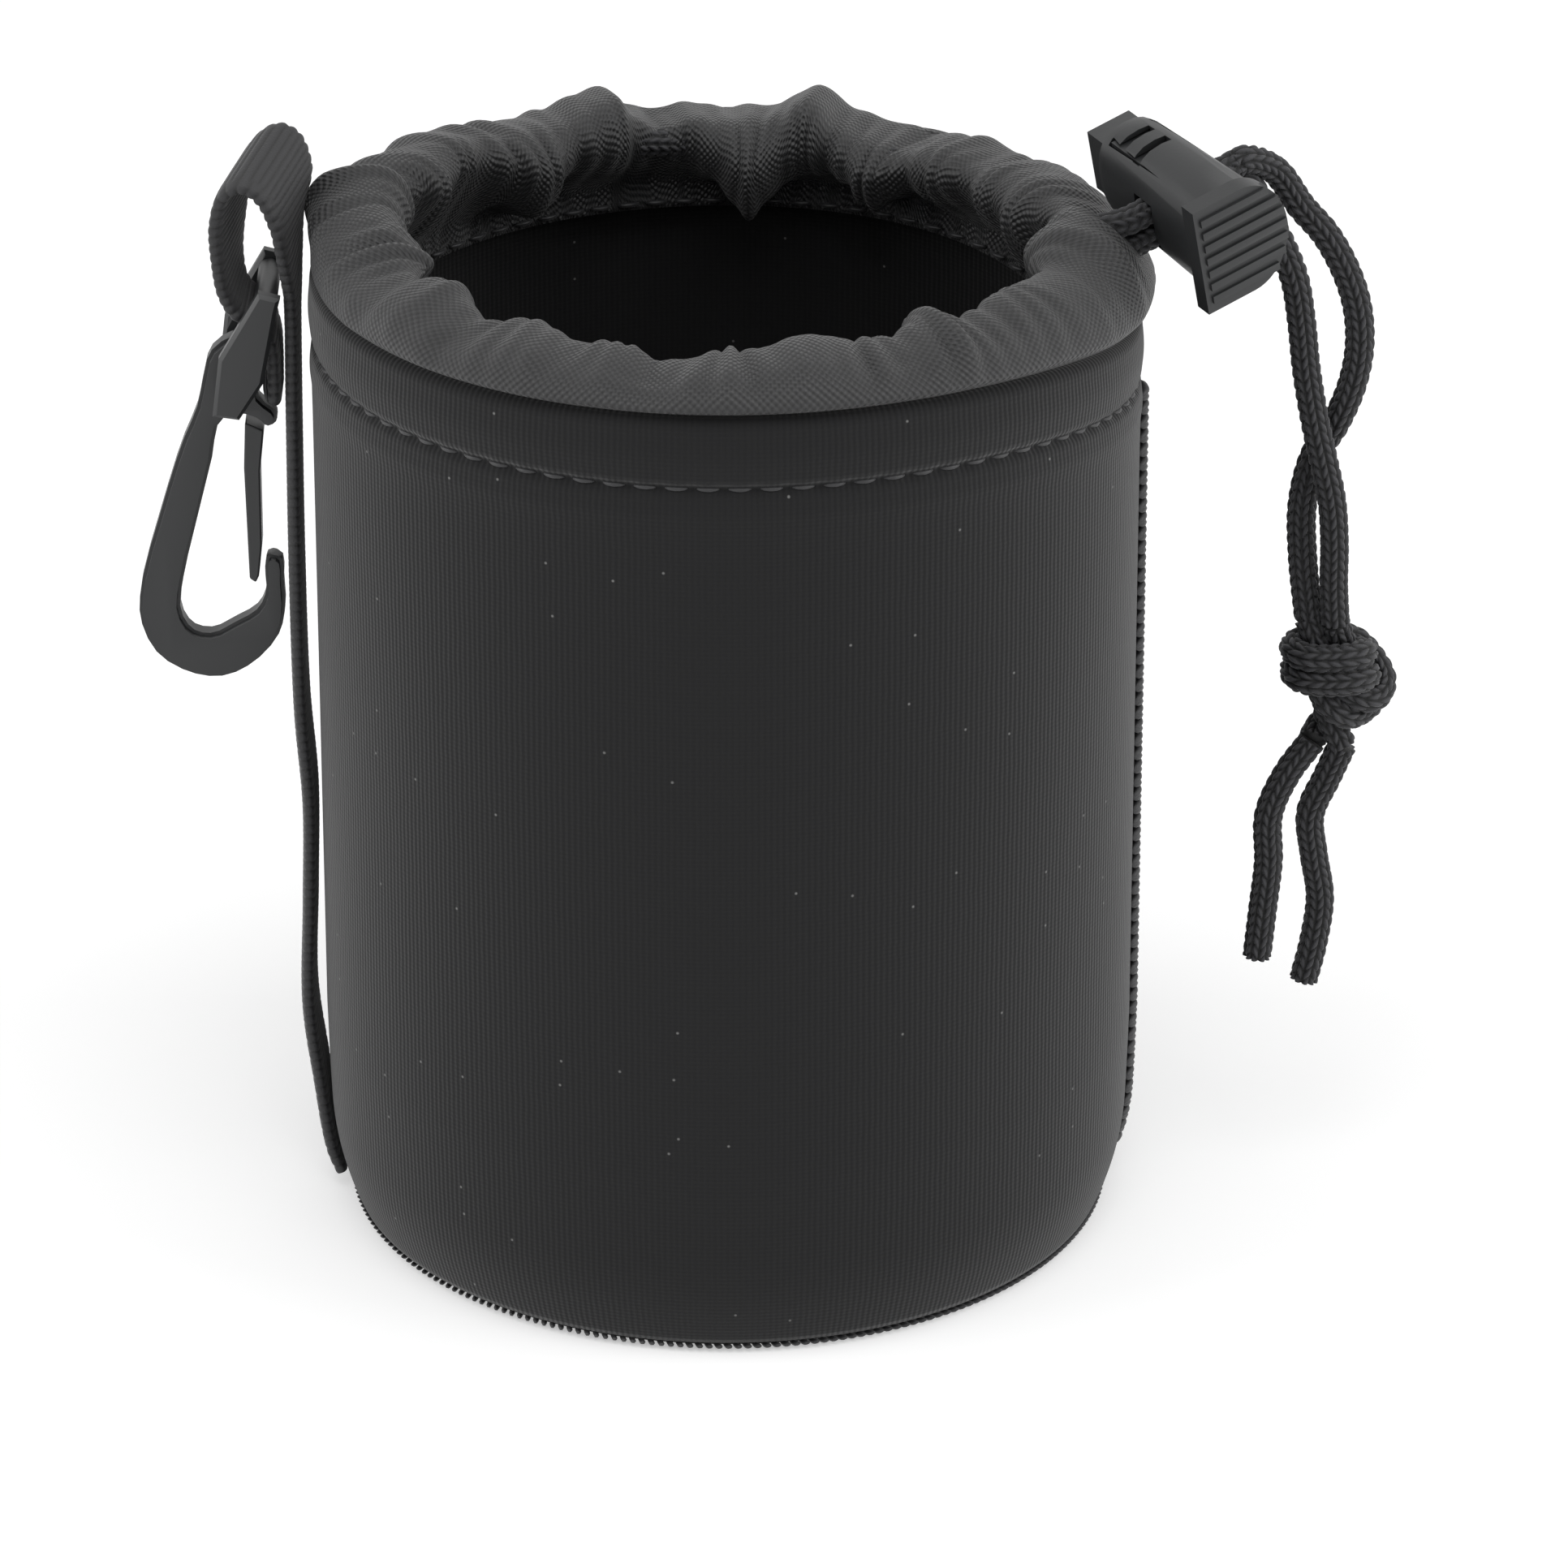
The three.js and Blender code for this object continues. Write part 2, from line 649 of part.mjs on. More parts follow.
const rightTailRoute = [
  [81.2, 4.0, 61.4], [79.4, 4.4, 56.6], [77.3, 4.6, 51.0], [77.9, 4.8, 45.0], [78.9, 4.8, 38.6],
  [78.2, 4.6, 32.0], [77.0, 4.4, 26.4],
];

function strand(side, route, steps) {
  const start = lockPoint(cordPastLock + seatGap, side);
  const next = lockPoint(cordPastLock + seatGap + cordDiameter / 2, side);
  return freeCord([start, next, ...route.map((p) => new THREE.Vector3(...p))], steps);
}

function tail(route, steps) {
  return freeCord(route.map((p) => new THREE.Vector3(...p)), steps);
}

// The overhand knot of both cords: its body, with the two wraps standing out of it
function cordKnot() {
  const wrapShare = 0.13;
  const ball = new THREE.SphereGeometry(1, 20, 14).rotateX(Math.PI / 2);
  return moveEach(ball, (point) => {
    const azimuth = Math.atan2(point.y, point.x);
    const wraps = Math.cos(point.z * 5.5 + 2 * azimuth) * Math.max(0, 1 - point.z * point.z);
    point.multiplyScalar(1 + wrapShare * wraps).multiply(knotSize).add(knotPlace);
  });
}

// Strap: one length of webbing from the base seam up, round the hook's bar and back onto itself.
// Each station is x, z and the shares of the loop's full twist and slant there.
const strapRoute = [
  [-51.9, 2.2, 0, 0], [-53.1, 5.5, 0, 0], [-54.6, 16, 0, 0], [-55.8, 27, 0, 0], [-55.4, 42, 0, 0],
  [-55.1, 56.5, 0, 0], [-55.9, 70, 0, 0], [-56.1, 90, 0, 0], [-56.0, 108, 0, 0], [-55.9, 118, 0, 0],
  [-55.8, 124.5, 0, 0.1], [-55.7, 130, 0.1, 0.35], [-55.9, 136, 0.4, 0.7], [-55.8, 141.5, 0.9, 0.9],
  [-57.4, 145.4, 1, 1], [-59.6, 146.6, 1, 1], [-61.9, 145.2, 1, 1], [-63.3, 141, 0.9, 0.95],
  [-63.8, 135.6, 0.6, 0.8], [-63.7, 130.8, 0.35, 0.5], [-62.7, 127.6, 0.15, 0.25], [-60.9, 125.9, 0.05, 0.1],
  [-59.2, 124.4, 0, 0], [-58.4, 121.8, 0, 0], [-58.25, 118.5, 0, 0], [-58.3, 114.5, 0, 0],
];
const loopTwistDegrees = 24;
const loopSlantDegrees = 22;

function strap() {
  const curve = new THREE.CatmullRomCurve3(strapRoute.map(([x, z]) => new THREE.Vector3(x, 0, z)), false, 'centripetal');
  const shares = new THREE.CatmullRomCurve3(strapRoute.map(([, , twist, slant]) => new THREE.Vector3(twist, slant, 0)),
    false, 'catmullrom', 0.3);
  const spans = strapRoute.length - 1;
  const stepsPerSpan = 2;
  const [halfWidth, half] = [strapWidth / 2, strapThickness / 2];
  const section = [
    [-halfWidth, -half + strapEdgeRound], [-halfWidth + strapEdgeRound, -half],
    [halfWidth - strapEdgeRound, -half], [halfWidth, -half + strapEdgeRound],
    [halfWidth, half - strapEdgeRound], [halfWidth - strapEdgeRound, half],
    [-halfWidth + strapEdgeRound, half], [-halfWidth, half - strapEdgeRound],
  ];
  const rings = [];
  for (let i = 0; i <= spans * stepsPerSpan; i += 1) {
    const t = i / (spans * stepsPerSpan);
    const middle = curve.getPoint(t);
    const along = curve.getTangent(t);
    const lean = shares.getPoint(t);
    const twist = Math.tan(loopTwistDegrees * degrees * lean.x);
    const slant = Math.tan(loopSlantDegrees * degrees * lean.y);
    rings.push(section.map(([v, h]) => new THREE.Vector3(
      middle.x + along.z * h + v * twist,
      v,
      middle.z - along.x * h + v * slant,
    )));
  }
  return loft(rings);
}

// A block of close zigzag stitches through the tape's end and the strap behind it
function strapBartack() {
  const zigzags = 8;
  const points = [];
  const reach = strapWidth / 2 - 2 * strapEdgeRound;
  for (let i = 0; i <= zigzags; i += 1) {
    points.push([mix(-reach, reach, i / zigzags), i % 2 ? bartackHeight / 2 : -bartackHeight / 2]);
  }
  const back = points.map(([x, y]) => [x, y + bartackStitch]).reverse();
  const thread = new THREE.ExtrudeGeometry(outline([...points, ...back]), { depth: bartackThickness, bevelEnabled: false });
  const [[x0, z0], [x1, z1]] = strapRoute.slice(-3, -1);
  thread.rotateX(Math.PI / 2).rotateZ(Math.PI / 2);
  const face = (x0 + x1 - strapThickness) / 2;
  return thread.translate(face - 2 * seatGap - bartackThickness, 0, mix(z0, z1, 0.6));
}

// Hook. In its own frame the bar is the origin, X points to the body and Z runs up its length.
// Outlines are shares of the hook's length.

const frameOuterShares = [
  [-0.125, -0.315], [-0.15, -0.42], [-0.178, -0.6], [-0.2, -0.79], [-0.19, -0.88], [-0.14, -0.96], [-0.06, -0.997],
  [0.02, -0.995], [0.085, -0.95], [0.135, -0.87], [0.142, -0.8], [0.13, -0.73], [0.118, -0.672], [0.086, -0.668],
  [0.082, -0.7], [0.092, -0.76], [0.078, -0.81], [0.03, -0.852], [-0.02, -0.888], [-0.065, -0.885],
  [-0.1, -0.84], [-0.104, -0.75], [-0.09, -0.6], [-0.075, -0.44], [-0.068, -0.345], [-0.03, -0.318], [0.02, -0.325],
  [0.042, -0.34], [0.062, -0.325], [0.058, -0.3], [0.015, -0.27], [0.008, -0.23], [-0.012, -0.185], [-0.03, -0.14],
  [-0.06, -0.125], [-0.11, -0.17], [-0.12, -0.24],
];
const cheekShares = [
  [-0.02, 0.042], [0.032, 0.036], [0.028, 0], [0.02, -0.18], [-0.024, -0.28], [-0.086, -0.28], [-0.09, -0.135],
];

function scaledBy(shares, length) {
  return shares.map(([x, z]) => [x * length, z * length]);
}

// The outline drawn in by a set distance on all sides
function drawnIn(points, distance) {
  const count = points.length;
  return points.map(([x, y], i) => {
    const [x0, y0] = points[(i + count - 1) % count];
    const [x1, y1] = points[(i + 1) % count];
    const length = Math.hypot(x1 - x0, y1 - y0);
    return [x - (distance * (y1 - y0)) / length, y + (distance * (x1 - x0)) / length];
  });
}

function hookFrame() {
  const outer = scaledBy(frameOuterShares, hookLength);
  const flange = standingPlate(smoothOutline(outer, 90), hookFlangeThickness);
  const rib = standingPlate(smoothOutline(drawnIn(outer, hookRibInset), 90), hookRibThickness);
  const cheekAt = (side) => standingPlate(outline(scaledBy(cheekShares, hookLength)), cheekThickness, cheekBevel)
    .translate(0, (side * (cheekSpacing + cheekThickness)) / 2, 0);
  const bar = cylinderAlongY(barDiameter / 2, cheekSpacing + cheekThickness, 14);
  const bridge = new THREE.BoxGeometry(0.05 * hookLength, cheekSpacing + cheekThickness, 0.09 * hookLength);
  bridge.translate(-0.055 * hookLength, 0, -0.215 * hookLength);
  return joined(flange, rib, cheekAt(-1), cheekAt(1), bar, bridge);
}

// The springy tongue: its side profile is a slender bow that thins towards the tip
const gateShares = [
  [0.036, -0.348], [0.04, -0.45], [0.056, -0.55], [0.068, -0.64], [0.071, -0.72], [0.066, -0.738], [0.05, -0.73],
  [0.036, -0.64], [0.02, -0.55], [0.002, -0.45], [-0.01, -0.335],
];

function hookGate() {
  return standingPlate(outline(scaledBy(gateShares, hookLength)), gateWidth);
}

// Assembly

function part(name, geometry, look) {
  const mesh = new THREE.Mesh(welded(geometry), new THREE.MeshStandardMaterial(look));
  mesh.name = name;
  return mesh;
}

const body = new THREE.Group();
body.add(
  part('side_panel', sidePanel(), neoprene),
  part('bottom_panel', bottomPanel(), neoprene),
  part('side_seam', sideSeam(), darkThread),
  part('bottom_seam', bottomSeam(), darkThread),
  part('hem_stitching', hemStitching(), darkThread),
  part('collar', collar(), oxfordCloth),
  part('collar_stitching', collarStitching(), darkThread),
  part('strap', strap(), webbing),
  part('strap_bartack', strapBartack(), darkThread),
);

const cords = new THREE.Group();
cords.add(
  part('drawcord_loop', drawcordLoop(), knittedCord),
  part('drawcord_strand_outer', strand(upperCord, outerStrandRoute, 34), knittedCord),
  part('drawcord_strand_inner', strand(lowerCord, innerStrandRoute, 32), knittedCord),
  part('drawcord_knot', cordKnot(), knittedCord),
  part('drawcord_tail_left', tail(leftTailRoute, 14), knittedCord),
  part('drawcord_tail_right', tail(rightTailRoute, 16), knittedCord),
);

const lock = new THREE.Group();
lock.applyMatrix4(lockMatrix());
lock.add(
  part('lock_shell', lockShell(), mouldedPlastic),
  part('lock_plunger', lockPlunger(), mouldedPlastic),
  part('lock_spring', lockSpring(), springSteel),
);

const hook = new THREE.Group();
hook.position.set(-barOffset, 0, barHeight);
hook.rotation.y = hookLeanDegrees * degrees;
hook.add(
  part('hook_frame', hookFrame(), mouldedPlastic),
  part('hook_gate', hookGate(), mouldedPlastic),
);

const pouch = new THREE.Group();
pouch.add(body, cords, lock, hook);

export default pouch;
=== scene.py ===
# %% [markdown]
# # A drawstring lens pouch
# The pouch is a soft tube of neoprene with a gathered cloth collar. A knitted cord runs in the
# collar, through a cord lock, and ends in an overhand knot. A webbing strap up the side carries a
# moulded belt hook. The CAD model gives the frame: every piece below is made in metres, in its place.

# %% Load the frame
import math

import bmesh
import bpy
import numpy as np
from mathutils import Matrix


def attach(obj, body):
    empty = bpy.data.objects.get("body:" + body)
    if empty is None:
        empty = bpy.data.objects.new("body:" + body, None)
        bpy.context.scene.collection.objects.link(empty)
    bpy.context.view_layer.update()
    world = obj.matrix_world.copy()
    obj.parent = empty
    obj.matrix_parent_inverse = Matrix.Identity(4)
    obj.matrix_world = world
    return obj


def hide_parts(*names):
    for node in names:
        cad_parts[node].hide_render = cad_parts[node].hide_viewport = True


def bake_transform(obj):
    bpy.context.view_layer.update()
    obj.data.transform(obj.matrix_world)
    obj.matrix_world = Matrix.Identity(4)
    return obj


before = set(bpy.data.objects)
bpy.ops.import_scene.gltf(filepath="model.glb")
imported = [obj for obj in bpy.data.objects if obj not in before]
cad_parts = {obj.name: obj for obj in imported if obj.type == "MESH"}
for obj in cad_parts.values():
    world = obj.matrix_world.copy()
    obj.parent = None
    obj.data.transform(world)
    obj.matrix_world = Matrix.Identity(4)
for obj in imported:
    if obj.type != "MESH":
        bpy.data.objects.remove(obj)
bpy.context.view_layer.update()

MM = 0.001

# %% [markdown]
# ## Small helpers
# A surface is a grid of points worked out with numpy, so its faces only have to be numbered. The
# numbering also keeps each corner's row and column, which is how a pattern such as a weave can run
# on unbroken where a tube closes on itself.

# %% Colours, objects and shader nodes
def linear(code):
    """The sRGB code in linear light: a channel c becomes ((c + 0.055) / 1.055) to the power 2.4."""
    c = np.array([int(code[i : i + 2], 16) for i in (1, 3, 5)]) / 255
    c = np.where(c <= 0.04045, c / 12.92, ((c + 0.055) / 1.055) ** 2.4)
    return (*c.tolist(), 1.0)


def put(name, data):
    """A new object of that data, linked to the scene, at the origin."""
    made = bpy.data.objects.new(name, data)
    bpy.context.scene.collection.objects.link(made)
    return made


def new_material(name):
    made = bpy.data.materials.new(name)
    made.use_nodes = True
    made.node_tree.nodes.clear()
    return made


def add(material, kind, sockets=None, **settings):
    """Adds a shader node. A socket's value is a number, a colour, or another node's output to link."""
    made = material.node_tree.nodes.new("ShaderNode" + kind)
    for key, value in settings.items():
        setattr(made, key, value)
    for key, value in (sockets or {}).items():
        if isinstance(value, bpy.types.NodeSocket):
            material.node_tree.links.new(value, made.inputs[key])
        else:
            made.inputs[key].default_value = value
    return made


# %% Grids, and meshes from them
def grid(rows, columns, loop_rows=False, loop_columns=False):
    """The quads of a grid of points: vertex numbers, then each corner's row and column."""
    i, j = np.meshgrid(
        np.arange(rows - (not loop_rows)), np.arange(columns - (not loop_columns)), indexing="ij"
    )
    i, j = i.reshape(-1, 1) + [0, 0, 1, 1], j.reshape(-1, 1) + [0, 1, 1, 0]
    return (i % rows) * columns + j % columns, i, j


def end_caps(rows, columns):
    """One many-sided face over each open end of a tube whose rings are the grid's rows."""
    j = np.arange(columns)[None]
    first = (j[:, ::-1], np.zeros_like(j), j[:, ::-1])
    last = ((rows - 1) * columns + j, np.full_like(j, rows - 1), j)
    return [first, last]


def piece(name, points, faces, material, body, stands_for=(), uv=None, relief=None):
    """Puts arrays into a mesh: points in metres, groups of faces, a map uv[row, column] and a relief."""
    mesh = bpy.data.meshes.new(name)
    points = np.asarray(points, np.float32).reshape(-1, 3)
    corners = np.concatenate([f[0].ravel() for f in faces]).astype(np.int32)
    sizes = np.concatenate([np.full(len(f[0]), f[0].shape[1]) for f in faces]).astype(np.int32)
    mesh.vertices.add(len(points))
    mesh.vertices.foreach_set("co", points.ravel())
    mesh.loops.add(len(corners))
    mesh.loops.foreach_set("vertex_index", corners)
    mesh.polygons.add(len(sizes))
    mesh.polygons.foreach_set("loop_start", (np.cumsum(sizes) - sizes).astype(np.int32))
    mesh.polygons.foreach_set("use_smooth", np.full(len(sizes), True))
    if uv is not None:
        layer = mesh.uv_layers.new(name="Cloth")
        each = np.concatenate([uv[f[1], f[2]].reshape(-1, 2) for f in faces])
        layer.uv.foreach_set("vector", each.astype(np.float32).ravel())
    if relief is not None:
        stored = mesh.attributes.new("relief", "FLOAT", "POINT")
        stored.data.foreach_set("value", np.asarray(relief, np.float32).ravel())
    mesh.update(calc_edges=True)
    mesh.validate()
    mesh.calc_loop_triangles()
    tri = np.zeros(len(mesh.loop_triangles) * 3, np.int32)
    mesh.loop_triangles.foreach_get("vertices", tri)
    a, b, c = points[tri.reshape(-1, 3)].astype(float).transpose(1, 0, 2)
    if (a * np.cross(b, c)).sum() < 0:
        mesh.flip_normals()
    mesh.materials.append(material)
    made = put(name, mesh)
    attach(made, body)
    if stands_for:
        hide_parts(*stands_for)
    print(name, len(points), "points", len(tri) // 3, "triangles")
    return made


# %% Smooth lines and the frames along them
SAMPLES = 40


def smooth_line(points, step):
    """Centripetal Catmull-Rom curve through the points, its samples then spaced evenly at step."""
    p = np.asarray(points, float)
    p = np.vstack([2 * p[0] - p[1], p, 2 * p[-1] - p[-2]])
    p0, p1, p2, p3 = p[:-3], p[1:-2], p[2:-1], p[3:]
    pairs = ((p0, p1), (p1, p2), (p2, p3))
    d0, d1, d2 = (np.sqrt(np.linalg.norm(b - a, axis=1))[:, None] for a, b in pairs)
    m1 = d1 * ((p1 - p0) / d0 - (p2 - p0) / (d0 + d1) + (p2 - p1) / d1)
    m2 = d1 * ((p2 - p1) / d1 - (p3 - p1) / (d1 + d2) + (p3 - p2) / d2)
    t = np.linspace(0, 1, SAMPLES, endpoint=False)[None, :, None]
    p1, p2, m1, m2 = (x[:, None] for x in (p1, p2, m1, m2))
    curve = (
        (2 * t**3 - 3 * t**2 + 1) * p1 + (t**3 - 2 * t**2 + t) * m1
        + (3 * t**2 - 2 * t**3) * p2 + (t**3 - t**2) * m2
    )
    return spaced(np.vstack([curve.reshape(-1, p.shape[1]), p[-2]]), step)


def spaced(line, step):
    """The same line with its points evenly apart, by linear steps along its own length."""
    run = np.concatenate([[0], np.cumsum(np.linalg.norm(np.diff(line, axis=0), axis=1))])
    count = max(int(round(run[-1] / step)), 2) + 1
    at = np.linspace(0, run[-1], count)
    return np.stack([np.interp(at, run, line[:, k]) for k in range(line.shape[1])], 1)


def unit(v):
    return v / np.maximum(np.linalg.norm(v, axis=-1, keepdims=True), 1e-12)


def frames_along(path, side):
    """Two directions across the path at each point, carried along it so that they never twist."""
    along = unit(np.gradient(path, axis=0))
    sides = np.zeros_like(path)
    side = np.asarray(side, float)
    for i, forward in enumerate(along):
        side = side - forward * (side @ forward)
        side = side / np.linalg.norm(side)
        sides[i] = side
    return sides, np.cross(along, sides)


def line_length(line):
    return float(np.linalg.norm(np.diff(line, axis=0), axis=1).sum())


# %% [markdown]
# ## Camera
# The photograph looks down on the pouch by about 26 degrees through a long lens, so that the far
# rim is hardly smaller than the near one. The camera is placed by that angle and distance.

# %% Camera
DISTANCE = 1.2
down = math.radians(26.09)
camera_data = bpy.data.cameras.new("camera")
camera_data.lens = 208.7
camera_data.sensor_width = 36
camera = put("camera", camera_data)
camera.location = (0.007416, -DISTANCE * math.cos(down), 0.05759 + DISTANCE * math.sin(down))
camera.rotation_euler = (math.pi / 2 - down, 0, 0)
bpy.context.scene.camera = camera
print("camera at", tuple(round(x, 3) for x in camera.location))

# %% [markdown]
# ## Knitted cord
# The drawcord is a circular knit of black polyester yarn. Up close it is columns of V-shaped
# stitches, so its tube gets real relief: each column has two slanting legs, and each leg is a row
# of plump grains. A bump map would do from afar, but the outline of a knitted cord is bumpy too.

# %% Cord yarn
cord_yarn = new_material("knitted_polyester_cord")
height = add(cord_yarn, "Attribute", attribute_name="relief").outputs["Fac"]
place = add(cord_yarn, "TexCoord").outputs["Object"]
fibres = add(cord_yarn, "TexNoise", {"Vector": place, "Scale": 4200.0, "Detail": 2.0, "Roughness": 0.6})
# The colour follows the knit's relief: painted shade, #040405, in the gaps between grains, and a painted
# highlight, #37373a, on their tops.
knit_shade_and_highlight = add(cord_yarn, "ValToRGB", {"Fac": height})
knit_shade_and_highlight.color_ramp.elements[0].position = 0.42
knit_shade_and_highlight.color_ramp.elements[0].color = linear("#040405")
knit_shade_and_highlight.color_ramp.elements[1].position = 0.9
knit_shade_and_highlight.color_ramp.elements[1].color = linear("#37373a")
raised = add(cord_yarn, "Bump", {"Height": fibres.outputs["Fac"], "Strength": 0.45, "Distance": 0.0002})
yarn_shader = add(
    cord_yarn,
    "BsdfPrincipled",
    {
        "Base Color": knit_shade_and_highlight.outputs["Color"],
        "Roughness": 0.62,
        "Sheen Weight": 0.25,
        "Sheen Roughness": 0.4,
        "Specular IOR Level": 0.4,
        "Normal": raised.outputs["Normal"],
    },
)
add(cord_yarn, "OutputMaterial", {"Surface": yarn_shader.outputs[0]})

# %% Knitted tube
# A wale is a column of stitches, a course is one stitch's height along the cord. The CAD's cord is
# 3.2 mm thick. It is drawn a little thicker, because a knit's yarn stands out from its middle.
CORD = 3.55 * MM
WALES = 5
COURSE = 1.5 * MM
GAP_DEPTH, GRAIN_RISE = 0.78, 0.33


def knit_relief(run, around):
    """0 to 1 over the knit: with c the share across a column and a the share across a leg, f is the
    fraction of run / course + 0.9 |2c - 1|; a grain is the root of (1 - (2a - 1)^2) (1 - (2f - 1)^2)."""
    column = (around * WALES) % 1
    leg = (2 * around * WALES) % 1
    phase = (run / COURSE + 0.9 * np.abs(2 * column - 1)) % 1
    return np.sqrt(np.clip((1 - (2 * leg - 1) ** 2) * (1 - (2 * phase - 1) ** 2), 0, 1))


def knitted_tube(name, path, side, body, stands_for=(), sides=60):
    """Rings round the path, each point at 0.78 to 1.11 of the radius by the knit's relief."""
    across, up = frames_along(path, side)
    turn = np.arange(sides) / sides
    run = np.concatenate([[0], np.cumsum(np.linalg.norm(np.diff(path, axis=0), axis=1))])
    relief = knit_relief(run[:, None], turn[None])
    radius = CORD / 2 * (GAP_DEPTH + GRAIN_RISE * relief)
    angle = 2 * math.pi * turn
    ring = np.cos(angle)[None, :, None] * across[:, None] + np.sin(angle)[None, :, None] * up[:, None]
    points = path[:, None] + radius[..., None] * ring
    faces = [grid(len(path), sides, loop_columns=True), *end_caps(len(path), sides)]
    return piece(name, points, faces, cord_yarn, body, stands_for, relief=relief)


# %% [markdown]
# ## Where the cord runs
# The two strands leave the cord lock side by side, fall in two loose bends and meet in the knot.
# Their routes repeat the CAD's points, so that they hang where their solids are.

# %% Routes of the cord
lock_place = np.array([57.8, 0.3, 141.1])
lock_x = np.array([0.827698, 0.498334, 0.258028])
lock_z = unit(np.array([0.537288, -0.836448, -0.108058]))
lock_y = unit(np.cross(lock_z, lock_x))
lock_x = np.cross(lock_y, lock_z)
upper_cord, lower_cord = 0.4, -3.4
lock_exit = 8.8
knot_place = np.array([78.0, 4.0, 70.8])


def lock_point(x, y, z=0.0):
    """A point of the lock's own frame, taken to the pouch's frame, in millimetres."""
    return lock_place + x * lock_x + y * lock_y + z * lock_z


outer_route = [
    lock_point(lock_exit, upper_cord), lock_point(10.4, upper_cord), [70.6, 8.2, 141.6], [74.2, 8.8, 136.3],
    [77.5, 8.6, 132.4], [80.3, 8.2, 127.2], [81.8, 7.6, 122.3], [82.1, 7.0, 117.0], [81.2, 6.5, 112.0],
    [79.2, 6.3, 106.8], [76.6, 6.2, 102.2], [75.2, 6.0, 95.5], [75.4, 5.6, 88.0], [76.4, 5.0, 79.4],
]
inner_route = [
    lock_point(lock_exit, lower_cord), lock_point(10.4, lower_cord), [68.8, 5.8, 137.4], [71.4, 4.8, 132.8],
    [73.3, 4.4, 128.0], [74.3, 4.2, 122.4], [75.1, 3.6, 115.6], [76.4, 2.8, 108.4], [77.6, 2.4, 103.2],
    [78.8, 2.2, 97.6], [79.3, 2.2, 91.5], [79.4, 2.8, 85.5], [79.8, 3.2, 79.7],
]
left_tail_route = [
    [77.2, 4.2, 61.9], [74.0, 3.6, 57.4], [71.7, 3.2, 51.6], [71.8, 3.0, 44.8], [71.2, 3.0, 37.6],
    [70.6, 3.0, 30.6],
]
right_tail_route = [
    [81.2, 4.0, 61.4], [79.4, 4.4, 56.6], [77.3, 4.6, 51.0], [77.9, 4.8, 45.0], [78.9, 4.8, 38.6],
    [78.2, 4.6, 32.0], [77.0, 4.4, 26.4],
]
KNIT_STEP = 0.2 * MM
outer_path = smooth_line(np.array(outer_route) * MM, KNIT_STEP)
inner_path = smooth_line(np.array(inner_route) * MM, KNIT_STEP)
left_path = smooth_line(np.array(left_tail_route) * MM, KNIT_STEP)
right_path = smooth_line(np.array(right_tail_route) * MM, KNIT_STEP)
for label, path in (("outer", outer_path), ("inner", inner_path), ("left", left_path), ("right", right_path)):
    print(label, "cord, mm", round(line_length(path) / MM, 1))

# %% Knitted strands and tails
outer_strand = knitted_tube("drawcord_outer", outer_path, lock_y, "pouch", ["drawcord_strand_outer"])
inner_strand = knitted_tube("drawcord_inner", inner_path, lock_y, "pouch", ["drawcord_strand_inner"])
left_tail = knitted_tube("drawcord_end_left", left_path, (0, 1, 0), "pouch", ["drawcord_tail_left"])
right_tail = knitted_tube("drawcord_end_right", right_path, (0.3, 1, 0), "pouch", ["drawcord_tail_right"])

# %% [markdown]
# ## The knot
# An overhand knot of both cords together. A knot gets its shape from being pulled tight, so it is
# tied here the same way: both cords are laid along a loose knotted line, and then their links
# shorten a little at each step, while bends are smoothed and stretches that come nearer than a
# cord's thickness push each other apart. Nothing in it is random, so every run ties the same knot.

# %% The loose knot
# The line goes round itself once and through: drawn in millimetres, about the knot's middle.
loose_route = np.array([
    [0, 0, 24], [0, 2, 7], [-6, 5, -7], [-14, 1, -5], [-15, -5, 6], [-5, -8, 12], [8, -4, 9], [11, 4, 1],
    [3, 10, -3], [-6, 6, 1], [-8, -3, 1], [-4, -9, -7], [0, -5, -24],
])
knot_turn = math.radians(200)
knot_turned = np.array([
    [math.cos(knot_turn), math.sin(knot_turn), 0], [-math.sin(knot_turn), math.cos(knot_turn), 0], [0, 0, 1],
])
knot_tilt = math.radians(16)
knot_tilted = np.array([
    [math.cos(knot_tilt), 0, -math.sin(knot_tilt)], [0, 1, 0], [math.sin(knot_tilt), 0, math.cos(knot_tilt)],
])
loose_line = smooth_line(loose_route @ knot_turned @ knot_tilted, 0.5)
loose_beside, _ = frames_along(loose_line, (1, 0.2, 0))
KNOT_LINKS = 78
loose_pair = []
for offset in (-2.0, 2.0):
    line = loose_line + offset * loose_beside
    line = spaced(line, line_length(line) / KNOT_LINKS)
    loose_pair.append(line)
cords = np.stack(loose_pair)
print("loose knot", cords.shape)


# %% Pull it tight
STEPS, PASSES = 600, 5
SHORTEN, SMOOTH, PART = 0.36, 0.18, 0.25


